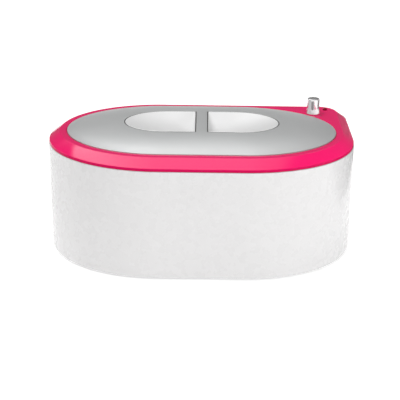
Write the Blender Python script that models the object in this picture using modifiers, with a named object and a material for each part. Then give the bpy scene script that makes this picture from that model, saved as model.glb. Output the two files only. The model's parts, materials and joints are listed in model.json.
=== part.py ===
"""Wax warmer pot: an oval heated bath with a lift-off lid, a turning knob and what its housing holds.

Metres, +Z up. The floor is Z = 0, the front is -Y, and the plan's centre is X = Y = 0.
"""

import math

import bmesh
import bpy
from mathutils import Vector

# Overall form
WIDTH = 0.370
DEPTH = 0.240
STRAIGHT_LENGTH = 0.100
END_AXIS = (WIDTH - STRAIGHT_LENGTH) / 2
OVAL_STRETCH = 0.0018
CORNER_RADIUS = 0.035
QUARTER_STEPS = 12
GAP = 0.0003

# Housing and base
HOUSING_BOTTOM = 0.003
HOUSING_TOP = 0.1345
WALL = 0.0028
DRAFT = 0.0015
EDGE_ROUND = 0.0045
BASE_THICKNESS = 0.0025
BASE_BOTTOM = HOUSING_BOTTOM + GAP
BASE_TOP = BASE_BOTTOM + BASE_THICKNESS
RIM_THICKNESS = 0.0010
BASE_CLEARANCE = 0.0004
BASE_INSET = DRAFT + EDGE_ROUND + RIM_THICKNESS + BASE_CLEARANCE
VENT_X = -0.0810
VENT_Y = -0.0360
VENT_SLOT = (0.0300, 0.0030, 0.0200)
VENT_ROWS = 7
VENT_COLUMNS = 2
VENT_ROW_PITCH = 0.0120
VENT_COLUMN_PITCH = 0.0450
FOOT_RADIUS = 0.009
FOOT_INSET = 0.026
FOOT_PEG_RADIUS = 0.003
FOOT_PEG_PROUD = 0.0020
FOOT_EDGE = 0.0006

# Bezel
DECK_TOP = 0.1475
LIP_INSET = 0.0005
LIP_RISE = 0.0034
SLOPE_INSET = 0.0122
SLOPE_CROWN = 0.0003
DECK_ROUND = 0.0010
DECK_WALL = 0.0036
RIB_OUTER = WALL + 0.0006
RIB_INNER = RIB_OUTER + 0.0018
RIB_DROP = 0.0040
LID_INSET = 0.0240
LID_GAP = 0.0007
LEDGE_DROP = 0.0020
LEDGE_THICKNESS = 0.0025
LEDGE_TOP = DECK_TOP - LEDGE_DROP
OPENING_INSET = 0.0310
RING_INSET = 0.0200

# Lid
LID_PROUD = 0.0006
LID_RISE = 0.0105
DOME_POWER = 4
LID_WALL = 0.0026
LID_RIM_Z = DECK_TOP + LID_PROUD
LID_BOTTOM = LEDGE_TOP + GAP
LID_RIB_OUTER = OPENING_INSET + 0.0008
LID_RIB_INNER = LID_RIB_OUTER + 0.0016
LID_RIB_DROP = 0.0035
BRIDGE_WIDTH = 0.0130
SCOOP_REACH = 0.0940
SCOOP_STRAIGHT = 0.0437
SCOOP_HALF_DEPTH = 0.0425
SCOOP_FALL = 0.0145
SCOOP_LIP = 0.0008
SCOOP_WALL = 0.0020

# Tank, seal and heater
SEAL_THICKNESS = 0.0015
SEAL_TOP = LEDGE_TOP - LEDGE_THICKNESS - GAP
FLANGE_TOP = SEAL_TOP - SEAL_THICKNESS - GAP
FLANGE_THICKNESS = 0.0012
FLANGE_BOTTOM = FLANGE_TOP - FLANGE_THICKNESS
FLANGE_INSET = 0.0170
TANK_INSET = 0.0322
TANK_WALL = 0.0015
TANK_TAPER = 0.0035
TANK_FLOOR = 0.0560
TANK_BEND = 0.0080
STUD_RADIUS = 0.0016
STUD_PITCH = 0.0740
HEATER_THICKNESS = 0.0020
HEATER_INSET = 0.0560
HEATER_NUT_RADIUS = 0.0035
HEATER_NUT_HEIGHT = 0.0028
PLATE_THICKNESS = 0.0015
PLATE_INSET = 0.0620
WRAP_THICKNESS = 0.0050
WRAP_BOTTOM = 0.0680
WRAP_TOP = 0.1300
FUSE_X = 0.0370
FUSE_Y = -0.0190
FUSE_RADIUS = 0.0020
FUSE_HALF_LENGTH = 0.0075
FUSE_CLIP = (0.0080, 0.0100, 0.0070)
TAG_X = 0.0440
TAG_Y = 0.0240
HEATER_TAB_X = 0.0080
HEATER_TAB_Y = -0.0290
SENSOR_X = 0.0220
SENSOR_RADIUS = 0.0024
SENSOR_HALF_LENGTH = 0.0300
SENSOR_CLEARANCE = 0.0006
CAPILLARY_RADIUS = 0.0006

# Screws and bosses
SCREW_RADIUS = 0.0015
SCREW_CLEARANCE = 0.0004
SCREW_HEAD_RADIUS = 0.0029
SCREW_HEAD_HEIGHT = 0.0018
BOSS_RADIUS = 0.0042
BASE_BOSS_TOP = 0.0340
BASE_SCREW_LENGTH = 0.0140
EAR_RADIUS = 0.0075
EAR_TOP = 0.1243
EAR_THICKNESS = 0.0040
FIX_RADIUS = 0.0032
FIX_INSET = 0.0130
FIX_SCREW_LENGTH = 0.0140
TANK_SCREW_INSET = 0.0208
TANK_SCREW_LENGTH = 0.0058

# Knob and thermostat
KNOB_BEARING = math.radians(43.2)
KNOB_TO_FLANGE = 0.0068
KNOB_INSET = FLANGE_INSET - KNOB_TO_FLANGE
KNOB_X = STRAIGHT_LENGTH / 2 + (END_AXIS - KNOB_INSET) * math.cos(KNOB_BEARING)
KNOB_Y = (DEPTH / 2 - KNOB_INSET) * math.sin(KNOB_BEARING)
KNOB_BOTTOM = DECK_TOP + 0.0005
KNOB_HEIGHT = 0.0196
KNOB_RADIUS = 0.0077
KNOB_SKIRT_RADIUS = 0.00885
KNOB_SKIRT_HEIGHT = 0.0060
KNOB_HOLLOW_RADIUS = 0.0066
KNOB_HOLLOW_HEIGHT = 0.0058
KNOB_TURN = math.radians(-12)
POINTER_WIDTH = 0.0022
POINTER_HEIGHT = 0.0105
POINTER_DEPTH = 0.0010
SHAFT_RADIUS = 0.0029
RUNNING_GAP = 0.00006
BUSHING_RADIUS = 0.0040
SHOULDER_RADIUS = 0.0058
BUSHING_RISE = 0.0032
THERMOSTAT_SIDE = 0.0260
THERMOSTAT_HEIGHT = 0.0200
THERMOSTAT_TOP = FLANGE_BOTTOM - 0.0010
THERMOSTAT_TURN = math.atan2(
    (END_AXIS - KNOB_INSET) * math.sin(KNOB_BEARING),
    (DEPTH / 2 - KNOB_INSET) * math.cos(KNOB_BEARING),
)
NUT_SIDE_RADIUS = 0.0058
NUT_HEIGHT = 0.0022

# Pilot lamp
LAMP_X = KNOB_X + 0.0168
LAMP_Y = KNOB_Y + 0.0170
LAMP_RADIUS = 0.0029
LAMP_RISE = 0.0024
LAMP_BODY_RADIUS = 0.0036
LAMP_BODY_LENGTH = 0.0150

# Power inlet and terminal block
INLET_X = WIDTH / 2 - 0.0850
INLET_Z = 0.0300
INLET_PLATE = (0.0500, 0.0022, 0.0224)
INLET_POCKET = 0.0040
INLET_PAD_THICKNESS = 0.0030
INLET_BODY = (0.0280, 0.0240, 0.0200)
SOCKET = (0.0245, 0.0165, 0.0165)
PIN_SIZE = (0.0040, 0.0110, 0.0020)
PIN_TAIL = (0.0030, 0.0060, 0.0008)
INLET_SCREW_PITCH = 0.0400
INLET_SCREW_LENGTH = 0.0085
INLET_BOSS_RADIUS = 0.0036
INLET_BOSS_DEPTH = 0.0090
INLET_HOLE_DEPTH = 0.0078
INLET_PAD_MARGIN = 0.0030
SOCKET_ROUND = 0.0025
PIN_PITCH = 0.0070
PIN_LOW = -0.0020
PIN_HIGH = 0.0025
BLOCK_SIZE = (0.0340, 0.0200, 0.0150)
BLOCK_Y = DEPTH / 2 - 0.0740
PORT_PITCH = 0.0100
PORT_RADIUS = 0.0017
PORT_RISE = 0.0068
PORT_DEPTH = 0.0060
PORT_SCREW_RADIUS = 0.0022

# Leads
LEAD_RADIUS = 0.0011
LEAD_BEND = 0.0080
LEAD_HEIGHT = BASE_TOP + 0.0240
LEAD_CORNER_X = WIDTH / 2 - 0.0340
CONTACT_REACH = 0.0100
CONTACT_SHIFT = 0.0020
LAMP_TAIL = 0.0018
EARTH_TAG = (0.0100, 0.0060, 0.0010)

FORWARD = (math.pi / 2, 0, 0)
ACROSS = (0, math.pi / 2, 0)
TURN_STEPS = 24
SMALL_STEPS = 10


def clear_scene():
    for item in list(bpy.data.objects):
        bpy.data.objects.remove(item, do_unlink=True)


def make_collection(name, hidden=False):
    collection = bpy.data.collections.new(name)
    bpy.context.scene.collection.children.link(collection)
    collection.hide_render = hidden
    return collection


def make_material(name, colour, roughness, metallic=0.0, transmission=0.0):
    material = bpy.data.materials.new(name)
    material.use_nodes = True
    shader = material.node_tree.nodes["Principled BSDF"]
    shader.inputs["Base Color"].default_value = (*colour, 1.0)
    shader.inputs["Roughness"].default_value = roughness
    shader.inputs["Metallic"].default_value = metallic
    shader.inputs["Transmission Weight"].default_value = transmission
    material.diffuse_color = (*colour, 1.0)
    return material


clear_scene()
PARTS = make_collection("wax_warmer_pot")
CUTTERS = make_collection("cutters", hidden=True)

WHITE = make_material("white_gloss", (0.86, 0.86, 0.85), 0.18)
PINK = make_material("pink_gloss", (0.85, 0.03, 0.16), 0.15)
SILVER = make_material("silver_satin", (0.62, 0.63, 0.63), 0.32, 0.9)
CHROME = make_material("chrome", (0.78, 0.78, 0.80), 0.06, 1.0)
BLACK = make_material("black_plastic", (0.02, 0.02, 0.02), 0.45)
GREY = make_material("grey_plastic", (0.30, 0.30, 0.31), 0.55)
RUBBER = make_material("rubber", (0.04, 0.04, 0.04), 0.85)
SILICONE = make_material("silicone", (0.70, 0.16, 0.08), 0.60)
ALUMINIUM = make_material("aluminium", (0.80, 0.81, 0.82), 0.30, 1.0)
STEEL = make_material("zinc_steel", (0.60, 0.61, 0.62), 0.35, 1.0)
BRASS = make_material("brass", (0.75, 0.55, 0.22), 0.30, 1.0)
MICA = make_material("heater_mica", (0.45, 0.30, 0.16), 0.60)
FIBRE = make_material("glass_fibre", (0.82, 0.78, 0.66), 0.90)
RED_LENS = make_material("red_lens", (0.45, 0.01, 0.02), 0.12, 0.0, 0.4)
WIRE_BROWN = make_material("lead_brown", (0.20, 0.08, 0.03), 0.50)
WIRE_BLUE = make_material("lead_blue", (0.03, 0.12, 0.50), 0.50)
WIRE_GREEN = make_material("lead_green", (0.10, 0.45, 0.06), 0.50)


def corner_quadrant(inset):
    """The squared-off rear right quadrant of the plan, from the right side round to the back."""
    right = WIDTH / 2 - inset
    back = DEPTH / 2 - inset
    centre_x = WIDTH / 2 - CORNER_RADIUS
    centre_y = DEPTH / 2 - CORNER_RADIUS
    radius = max(CORNER_RADIUS - inset, 0.001)
    flat = WIDTH / 2 - END_AXIS
    straight = 3
    arc = QUARTER_STEPS - 2 * straight
    points = [(right, centre_y * step / straight) for step in range(straight)]
    for step in range(arc + 1):
        angle = math.pi / 2 * step / arc
        points.append((centre_x + radius * math.cos(angle), centre_y + radius * math.sin(angle)))
    for step in range(1, straight + 1):
        points.append((centre_x + (flat - centre_x) * step / straight, back))
    return points


def quadrant(number, inset, corner):
    """One quarter of the plan curve; 0 is rear right and they follow counter-clockwise."""
    if corner and number == 0:
        return corner_quadrant(inset)
    flat = WIDTH / 2 - END_AXIS
    centre = flat if number in (0, 3) else -flat
    end_axis = END_AXIS - inset + (0 if corner else OVAL_STRETCH)
    points = []
    for step in range(QUARTER_STEPS + 1):
        angle = math.pi / 2 * (number + step / QUARTER_STEPS)
        x = centre + end_axis * math.cos(angle)
        points.append((x, (DEPTH / 2 - inset) * math.sin(angle)))
    return points


def outline(inset, corner=False):
    """The whole plan curve: an oval, or with corner the same oval with its rear right filled out."""
    points = []
    for number in range(4):
        points += quadrant(number, inset, corner)[1 if number in (0, 2) else 0:]
    return points


def ring(inset, z, corner=False):
    return [(x, y, z) for x, y in outline(inset, corner)]


def plan_spot(number, share, inset, corner=False):
    """A place on the plan curve, a share of the way through one quadrant."""
    return quadrant(number, inset, corner)[round(share * QUARTER_STEPS)]


def cap_ring(built, row):
    """Closes a ring: one face where it is level, or a fan to its middle where it isn't."""
    heights = [vert.co.z for vert in row]
    if max(heights) - min(heights) < 1e-6:
        built.faces.new(row)
        return
    middle = built.verts.new(sum((vert.co for vert in row), Vector()) / len(row))
    for index in range(len(row)):
        built.faces.new((row[index], row[(index + 1) % len(row)], middle))


def loft(name, rings, material=None, closed=False):
    """A skin through rings of equal length, its ends capped, or joined to each other with closed."""
    mesh = bpy.data.meshes.new(name)
    built = bmesh.new()
    rows = [[built.verts.new(point) for point in row] for row in rings]
    pairs = list(zip(rows, rows[1:]))
    if closed:
        pairs.append((rows[-1], rows[0]))
    for first, second in pairs:
        for index in range(len(first)):
            after = (index + 1) % len(first)
            built.faces.new((first[index], first[after], second[after], second[index]))
    if not closed:
        for row in (rows[0], rows[-1]):
            cap_ring(built, row)
    bmesh.ops.recalc_face_normals(built, faces=built.faces)
    built.to_mesh(mesh)
    built.free()
    return add_object(name, mesh, material)


def add_object(name, mesh, material=None):
    """A part of the pot, or with no material a helper that a Boolean uses."""
    made = bpy.data.objects.new(name, mesh)
    if material is None:
        CUTTERS.objects.link(made)
        made.hide_render = True
        made.display_type = "WIRE"
    else:
        PARTS.objects.link(made)
        made.data.materials.append(material)
    return made


def turned(name, profile, material=None, location=(0, 0, 0), tilt=(0, 0, 0), steps=TURN_STEPS, closed=False):
    """A solid of revolution about its own Z; the profile runs down the outer side from top to bottom."""
    mesh = bpy.data.meshes.new(name)
    edges = [(index, index + 1) for index in range(len(profile) - 1)]
    if closed:
        edges.append((len(profile) - 1, 0))
    mesh.from_pydata([(radius, 0, z) for radius, z in profile], edges, [])
    made = add_object(name, mesh, material)
    made.location = location
    made.rotation_euler = tilt
    screw = made.modifiers.new("turn", "SCREW")
    screw.angle = 2 * math.pi
    screw.steps = steps
    screw.render_steps = steps
    screw.use_merge_vertices = True
    screw.merge_threshold = 0.00001
    return made


def rod(radius, bottom, top):
    """The profile of a plain cylinder, for turned."""
    return [(0, top), (radius, top), (radius, bottom), (0, bottom)]


def cylinder(name, radius, bottom, top, x, y, material=None, steps=SMALL_STEPS):
    return turned(name, rod(radius, bottom, top), material, (x, y, 0), steps=steps)


def box(name, size, centre, material=None, bevel=0.0, turn=0.0):
    mesh = bpy.data.meshes.new(name)
    built = bmesh.new()
    bmesh.ops.create_cube(built, size=1.0)
    bmesh.ops.scale(built, vec=size, verts=built.verts)
    built.to_mesh(mesh)
    built.free()
    made = add_object(name, mesh, material)
    made.location = centre
    made.rotation_euler = (0, 0, turn)
    if bevel:
        rounding = made.modifiers.new("edges", "BEVEL")
        rounding.width = bevel
        rounding.segments = 1
        rounding.limit_method = "ANGLE"
    return made


def prism(name, sides, radius, bottom, top, x, y, material=None):
    points = [(math.cos(2 * math.pi * k / sides), math.sin(2 * math.pi * k / sides)) for k in range(sides)]
    rows = [[(x + radius * u, y + radius * v, z) for u, v in points] for z in (top, bottom)]
    return loft(name, rows, material)


def combine(target, other, operation):
    change = target.modifiers.new(other.name, "BOOLEAN")
    change.operation = operation
    change.solver = "EXACT"
    change.object = other


def cut(target, *others):
    for other in others:
        combine(target, other, "DIFFERENCE")


def join(target, *others):
    for other in others:
        combine(target, other, "UNION")


def drill(target, radius, bottom, top, x, y, steps=SMALL_STEPS):
    cut(target, cylinder(f"{target.name}_drill", radius, bottom, top, x, y, steps=steps))


def pan_screw(name, place, length, tilt=(0, 0, 0)):
    """A pan head screw: head below, shank rising from place; tilt turns it about that point."""
    tip = 0.3 * SCREW_RADIUS
    profile = [
        (0, length),
        (SCREW_RADIUS - tip, length),
        (SCREW_RADIUS, length - 2 * tip),
        (SCREW_RADIUS, 0),
        (SCREW_HEAD_RADIUS, 0),
        (SCREW_HEAD_RADIUS, -0.55 * SCREW_HEAD_HEIGHT),
        (0.7 * SCREW_HEAD_RADIUS, -SCREW_HEAD_HEIGHT),
        (0, -SCREW_HEAD_HEIGHT),
    ]
    return turned(name, profile, STEEL, place, tilt, SMALL_STEPS)


def base_spots():
    """Where the base screws enter the housing's bosses."""
    inset = DRAFT + WALL + BOSS_RADIUS - 0.0010
    return [plan_spot(number, 0.5, inset, True) for number in range(4)]


def fixing_spots(inset):
    """Where the bezel is screwed to the housing's ears."""
    return [plan_spot(number, share, inset, True) for number, share in enumerate((0.22, 0.36, 0.64, 0.36))]


def tank_screw_spots():
    return [plan_spot(number, 0.72, TANK_SCREW_INSET) for number in range(4)]


def rear_face(z):
    """The Y of the housing's outer rear wall at a height."""
    return DEPTH / 2 - DRAFT * (HOUSING_TOP - z) / (HOUSING_TOP - HOUSING_BOTTOM)


def build_housing():
    rings = []
    for angle in (0, math.radians(30), math.radians(60), math.pi / 2):
        inset = DRAFT + EDGE_ROUND * (1 - math.sin(angle))
        rings.append(ring(inset, HOUSING_BOTTOM + EDGE_ROUND * (1 - math.cos(angle)), True))
    rim = DRAFT + EDGE_ROUND + RIM_THICKNESS
    rings += [
        ring(0, HOUSING_TOP - 0.0006, True),
        ring(0.0006, HOUSING_TOP, True),
        ring(WALL, HOUSING_TOP, True),
        ring(DRAFT + WALL, HOUSING_BOTTOM + 2 * EDGE_ROUND, True),
        ring(rim, HOUSING_BOTTOM + EDGE_ROUND, True),
        ring(rim, HOUSING_BOTTOM, True),
    ]
    housing = loft("outer_housing", rings, WHITE, closed=True)
    for x, y in base_spots():
        join(housing, cylinder("base_boss", BOSS_RADIUS, BASE_TOP + GAP, BASE_BOSS_TOP, x, y, steps=16))
        drill(housing, SCREW_RADIUS + GAP, 0, BASE_SCREW_LENGTH + 0.006, x, y)
    for x, y in fixing_spots(EAR_RADIUS + 0.0020):
        join(housing, cylinder("ear", EAR_RADIUS, EAR_TOP - EAR_THICKNESS, EAR_TOP, x, y, steps=20))
    for x, y in fixing_spots(FIX_INSET):
        drill(housing, SCREW_RADIUS + GAP, EAR_TOP - 0.01, EAR_TOP + 0.01, x, y)
    cut_inlet(housing)
    return housing


def inlet_floor():
    """The Y of the pocket's floor that the inlet's plate is screwed to."""
    return rear_face(INLET_Z) - INLET_POCKET


def cut_inlet(housing):
    """The thickened pad in the rear wall, with the pocket, window and screw bosses of the power inlet."""
    floor = inlet_floor()
    pad_depth = INLET_POCKET + INLET_PAD_THICKNESS - 0.0010
    pad_y = floor - INLET_PAD_THICKNESS + pad_depth / 2
    pad = (INLET_PLATE[0] + 2 * INLET_PAD_MARGIN, pad_depth, INLET_PLATE[2] + 2 * INLET_PAD_MARGIN)
    join(housing, box("inlet_pad", pad, (INLET_X, pad_y, INLET_Z)))
    pocket = (INLET_PLATE[0] + 2 * GAP, 0.0200, INLET_PLATE[2] + 2 * GAP)
    cut(housing, box("inlet_pocket", pocket, (INLET_X, floor + 0.0100, INLET_Z)))
    window = (INLET_BODY[0] + 2 * GAP, 0.0200, INLET_BODY[2] + 2 * GAP)
    cut(housing, box("inlet_window", window, (INLET_X, floor, INLET_Z)))
    for side in (-1, 1):
        place = (INLET_X + side * INLET_SCREW_PITCH / 2, floor, INLET_Z)
        boss = rod(INLET_BOSS_RADIUS, 0.0010, INLET_BOSS_DEPTH)
        join(housing, turned("inlet_boss", boss, None, place, FORWARD, 16))
        hole = rod(SCREW_RADIUS + GAP, -0.0050, INLET_HOLE_DEPTH)
        cut(housing, turned("inlet_hole", hole, None, place, FORWARD, SMALL_STEPS))


def build_base():
    rings = [ring(BASE_INSET, BASE_TOP, True), ring(BASE_INSET, BASE_BOTTOM, True)]
    plate = loft("base_plate", rings, GREY)
    for number, (x, y) in enumerate(base_spots()):
        drill(plate, SCREW_RADIUS + SCREW_CLEARANCE, 0, 0.02, x, y)
        pan_screw(f"base_screw_{number + 1}", (x, y, BASE_BOTTOM - GAP), BASE_SCREW_LENGTH)
    for number, name in enumerate(("rear_right", "rear_left", "front_left", "front_right")):
        x, y = plan_spot(number, 0.5, FOOT_INSET, True)
        drill(plate, FOOT_PEG_RADIUS + GAP, 0, 0.02, x, y)
        build_foot(f"foot_{name}", x, y)
    slot = box("vent_slot", VENT_SLOT, (VENT_X, VENT_Y, BASE_BOTTOM))
    rows = ("rows", VENT_ROWS, (0, VENT_ROW_PITCH, 0))
    columns = ("columns", VENT_COLUMNS, (VENT_COLUMN_PITCH, 0, 0))
    for label, count, offset in (rows, columns):
        array = slot.modifiers.new(label, "ARRAY")
        array.count = count
        array.use_relative_offset = False
        array.use_constant_offset = True
        array.constant_offset_displace = offset
    cut(plate, slot)


def build_foot(name, x, y):
    top = BASE_BOTTOM - GAP
    profile = [
        (0, BASE_TOP + FOOT_PEG_PROUD),
        (FOOT_PEG_RADIUS, BASE_TOP + FOOT_PEG_PROUD),
        (FOOT_PEG_RADIUS, top),
        (FOOT_RADIUS, top),
        (FOOT_RADIUS, FOOT_EDGE),
        (FOOT_RADIUS - FOOT_EDGE, 0),
        (0, 0),
    ]
    turned(name, profile, RUBBER, (x, y, 0), steps=20)


def slope_height(inset):
    """The height of the bezel's sloping face at an inset."""
    share = (inset - LIP_INSET) / (SLOPE_INSET - LIP_INSET)
    low = HOUSING_TOP + GAP + LIP_RISE
    return low + (DECK_TOP - DECK_ROUND - low) * share


def build_bezel():
    bottom = HOUSING_TOP + GAP
    underside = DECK_TOP - DECK_WALL
    ledge_bottom = LEDGE_TOP - LEDGE_THICKNESS
    hole = LID_INSET - LID_GAP
    slope_middle = 0.5 * (LIP_INSET + SLOPE_INSET)
    rings = [
        ring(LIP_INSET, bottom, True),
        ring(LIP_INSET, bottom + LIP_RISE, True),
        ring(slope_middle, slope_height(slope_middle) + SLOPE_CROWN, True),
        ring(SLOPE_INSET, DECK_TOP - DECK_ROUND, True),
        ring(SLOPE_INSET + 0.0012, DECK_TOP - 0.0002, True),
        ring(SLOPE_INSET + 0.0026, DECK_TOP, True),
        ring(hole - 0.0004, DECK_TOP),
        ring(hole, DECK_TOP - 0.0004),
        ring(hole, LEDGE_TOP),
        ring(OPENING_INSET - 0.0005, LEDGE_TOP),
        ring(OPENING_INSET, LEDGE_TOP - 0.0005),
        ring(OPENING_INSET, ledge_bottom),
        ring(RING_INSET, ledge_bottom),
        ring(RING_INSET, underside),
        ring(SLOPE_INSET + 0.0026, underside, True),
        ring(RIB_INNER, bottom + LIP_RISE + 0.0006, True),
        ring(RIB_INNER, HOUSING_TOP - RIB_DROP, True),
        ring(RIB_OUTER, HOUSING_TOP - RIB_DROP, True),
        ring(RIB_OUTER, bottom, True),
    ]
    bezel = loft("top_bezel", rings, PINK, closed=True)
    for number, (x, y) in enumerate(fixing_spots(FIX_INSET)):
        join(bezel, cylinder("fixing_boss", FIX_RADIUS, EAR_TOP + GAP, underside + 0.0008, x, y, steps=16))
        drill(bezel, SCREW_RADIUS + GAP, EAR_TOP - 0.01, EAR_TOP + 0.0120, x, y)
        pan_screw(f"bezel_screw_{number + 1}", (x, y, EAR_TOP - EAR_THICKNESS - GAP), FIX_SCREW_LENGTH)
    for number, (x, y) in enumerate(tank_screw_spots()):
        boss_bottom = FLANGE_TOP + GAP
        join(bezel, cylinder("tank_boss", FIX_RADIUS, boss_bottom, underside + 0.0010, x, y, steps=16))
        drill(bezel, SCREW_RADIUS + GAP, boss_bottom - 0.01, FLANGE_BOTTOM + TANK_SCREW_LENGTH + GAP, x, y)
        pan_screw(f"tank_screw_{number + 1}", (x, y, FLANGE_BOTTOM - GAP), TANK_SCREW_LENGTH)
    drill(bezel, BUSHING_RADIUS + GAP, 0.1, 0.2, KNOB_X, KNOB_Y, TURN_STEPS)
    drill(bezel, LAMP_RADIUS + GAP, 0.1, 0.2, LAMP_X, LAMP_Y, 16)
    return bezel


def dome_height(x, y):
    """The height of the lid's outer surface over a place in plan."""
    half_width = WIDTH / 2 + OVAL_STRETCH - LID_INSET
    half_depth = DEPTH / 2 - LID_INSET
    flat = (WIDTH / 2 - END_AXIS) / half_width
    share = abs(y) / half_depth
    for _ in range(6):
        reach = max(abs(x) / half_width - flat * share, 0) / (1 - flat)
        share = math.hypot(reach, y / half_depth)
    return LID_RIM_Z + LID_RISE * (1 - share ** DOME_POWER)


def dome_ring(share, drop=0.0):
    z = LID_RIM_Z + LID_RISE * (1 - share ** DOME_POWER) - drop
    return [(x * share, y * share, z) for x, y in outline(LID_INSET)]


def scoop_points(side, grow):
    """The D outline of one finger scoop, widened all round by grow."""
    near = BRIDGE_WIDTH / 2 - grow
    half = SCOOP_HALF_DEPTH + grow
    reach = SCOOP_REACH - SCOOP_STRAIGHT + grow
    middle = 0.5 * (near + SCOOP_STRAIGHT)
    points = [(near, -half), (middle, -half)]
    arc = 14
    for step in range(arc + 1):
        angle = math.pi * (step / arc - 0.5)
        points.append((SCOOP_STRAIGHT + reach * math.cos(angle), half * math.sin(angle)))
    points += [(middle, half), (near, half), (near, 0.3 * half), (near, -0.3 * half)]
    return [(side * x, y) for x, y in points]


def scoop_bowl(name, side, grow, lip, above):
    """The bowl of one scoop: a lip that follows the dome, then a parabola deepest at the bridge."""
    points = scoop_points(side, grow)
    pivot = side * (BRIDGE_WIDTH / 2 - grow)
    bottom = LID_RIM_Z + LID_RISE - SCOOP_FALL - grow
    edges = [dome_height(x, y) - lip for x, y in points]
    rings = [[(x, y, LID_RIM_Z + LID_RISE + 0.01) for x, y in points]] if above else []
    for share in (1.0, 0.86, 0.7, 0.52, 0.32, 0.14):
        row = []
        for (x, y), edge in zip(points, edges):
            row.append((pivot + (x - pivot) * share, y * share, bottom + (edge - bottom) * share ** 2))
        rings.append(row)
    return loft(name, rings)


def build_lid():
    rings = [dome_ring(share) for share in (0.15, 0.36, 0.54, 0.7, 0.82, 0.92, 0.985)]
    rings += [
        ring(LID_INSET, LID_RIM_Z - 0.0003),
        ring(LID_INSET, LID_BOTTOM),
        ring(LID_RIB_OUTER, LID_BOTTOM),
        ring(LID_RIB_OUTER, LEDGE_TOP - LID_RIB_DROP),
        ring(LID_RIB_INNER, LEDGE_TOP - LID_RIB_DROP),
        ring(LID_RIB_INNER, LID_BOTTOM + 0.0005),
    ]
    rings += [dome_ring(share, LID_WALL) for share in (0.87, 0.74, 0.56, 0.36, 0.15)]
    lid = loft("lid_shell", rings, SILVER)
    for side, label in ((-1, "left"), (1, "right")):
        join(lid, scoop_bowl(f"bowl_{label}", side, SCOOP_WALL, LID_WALL / 2, False))
    for side, label in ((-1, "left"), (1, "right")):
        cut(lid, scoop_bowl(f"scoop_{label}", side, 0.0, SCOOP_LIP, True))
    return lid


def tank_wall_inset(z):
    """The inset of the tank's inner wall at a height above its bend."""
    share = (FLANGE_TOP - z) / (FLANGE_TOP - TANK_FLOOR)
    return TANK_INSET + TANK_TAPER * share


def stud_spots():
    return [(-STUD_PITCH, 0.0), (0.0, 0.0), (STUD_PITCH, 0.0)]


def build_tank():
    inner_bend = tank_wall_inset(TANK_FLOOR + TANK_BEND)
    outer = TANK_WALL
    rings = [
        ring(inner_bend + TANK_BEND, TANK_FLOOR),
        ring(inner_bend + 0.3 * TANK_BEND, TANK_FLOOR + 0.25 * TANK_BEND),
        ring(inner_bend, TANK_FLOOR + TANK_BEND),
        ring(TANK_INSET, FLANGE_TOP - 0.0010),
        ring(TANK_INSET - 0.0010, FLANGE_TOP),
        ring(FLANGE_INSET, FLANGE_TOP),
        ring(FLANGE_INSET, FLANGE_BOTTOM),
        ring(TANK_INSET - outer, FLANGE_BOTTOM),
        ring(inner_bend - outer, TANK_FLOOR + TANK_BEND),
        ring(inner_bend + 0.3 * TANK_BEND - outer, TANK_FLOOR + 0.25 * TANK_BEND - 0.8 * outer),
        ring(inner_bend + TANK_BEND, TANK_FLOOR - outer),
    ]
    tank = loft("inner_tank", rings, ALUMINIUM)
    for x, y in tank_screw_spots():
        drill(tank, SCREW_RADIUS + SCREW_CLEARANCE, FLANGE_BOTTOM - 0.01, FLANGE_TOP + 0.01, x, y)
    for x, y in stud_spots():
        join(tank, cylinder("tank_stud", STUD_RADIUS, TANK_FLOOR - 0.0120, TANK_FLOOR - 0.5 * outer, x, y))
    return tank


def build_seal():
    inner = OPENING_INSET - 0.0008
    outer = TANK_SCREW_INSET + FIX_RADIUS + 0.0010
    bottom = SEAL_TOP - SEAL_THICKNESS
    rings = [ring(outer, SEAL_TOP), ring(inner, SEAL_TOP), ring(inner, bottom), ring(outer, bottom)]
    loft("tank_seal", rings, SILICONE, closed=True)


def build_heater():
    heater_top = TANK_FLOOR - TANK_WALL - GAP
    heater_bottom = heater_top - HEATER_THICKNESS
    plate_top = heater_bottom - GAP
    plate_bottom = plate_top - PLATE_THICKNESS
    heater = loft("heater_pad", [ring(HEATER_INSET, heater_top), ring(HEATER_INSET, heater_bottom)], MICA)
    plate = loft("pressure_plate", [ring(PLATE_INSET, plate_top), ring(PLATE_INSET, plate_bottom)], STEEL)
    for number, (x, y) in enumerate(stud_spots()):
        for target in (heater, plate):
            drill(target, STUD_RADIUS + SCREW_CLEARANCE, 0.02, 0.07, x, y)
        nut_top = plate_bottom - GAP
        nut_bottom = nut_top - HEATER_NUT_HEIGHT
        nut = prism(f"heater_nut_{number + 1}", 6, HEATER_NUT_RADIUS, nut_bottom, nut_top, x, y, STEEL)
        drill(nut, STUD_RADIUS + GAP, 0.02, 0.07, x, y)
    return plate_bottom


def build_wrap():
    """The heat blanket round the tank's wall."""
    clear = TANK_WALL + 0.0005
    low = tank_wall_inset(WRAP_BOTTOM) - clear
    high = tank_wall_inset(WRAP_TOP) - clear
    rings = [
        ring(high - WRAP_THICKNESS, WRAP_TOP),
        ring(high, WRAP_TOP),
        ring(low, WRAP_BOTTOM),
        ring(low - WRAP_THICKNESS, WRAP_BOTTOM),
    ]
    loft("insulation_wrap", rings, FIBRE, closed=True)


def capsule(radius, half_length):
    """The profile of a rod with its ends drawn in, for turned."""
    neck = 0.6 * radius
    shoulder = half_length - 0.5 * radius
    profile = [(0, half_length), (neck, half_length), (radius, shoulder)]
    return profile + [(across, -along) for across, along in reversed(profile)]


def fuse_place(plate_bottom):
    return Vector((FUSE_X, FUSE_Y, plate_bottom - GAP - FUSE_CLIP[2] / 2))


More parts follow.
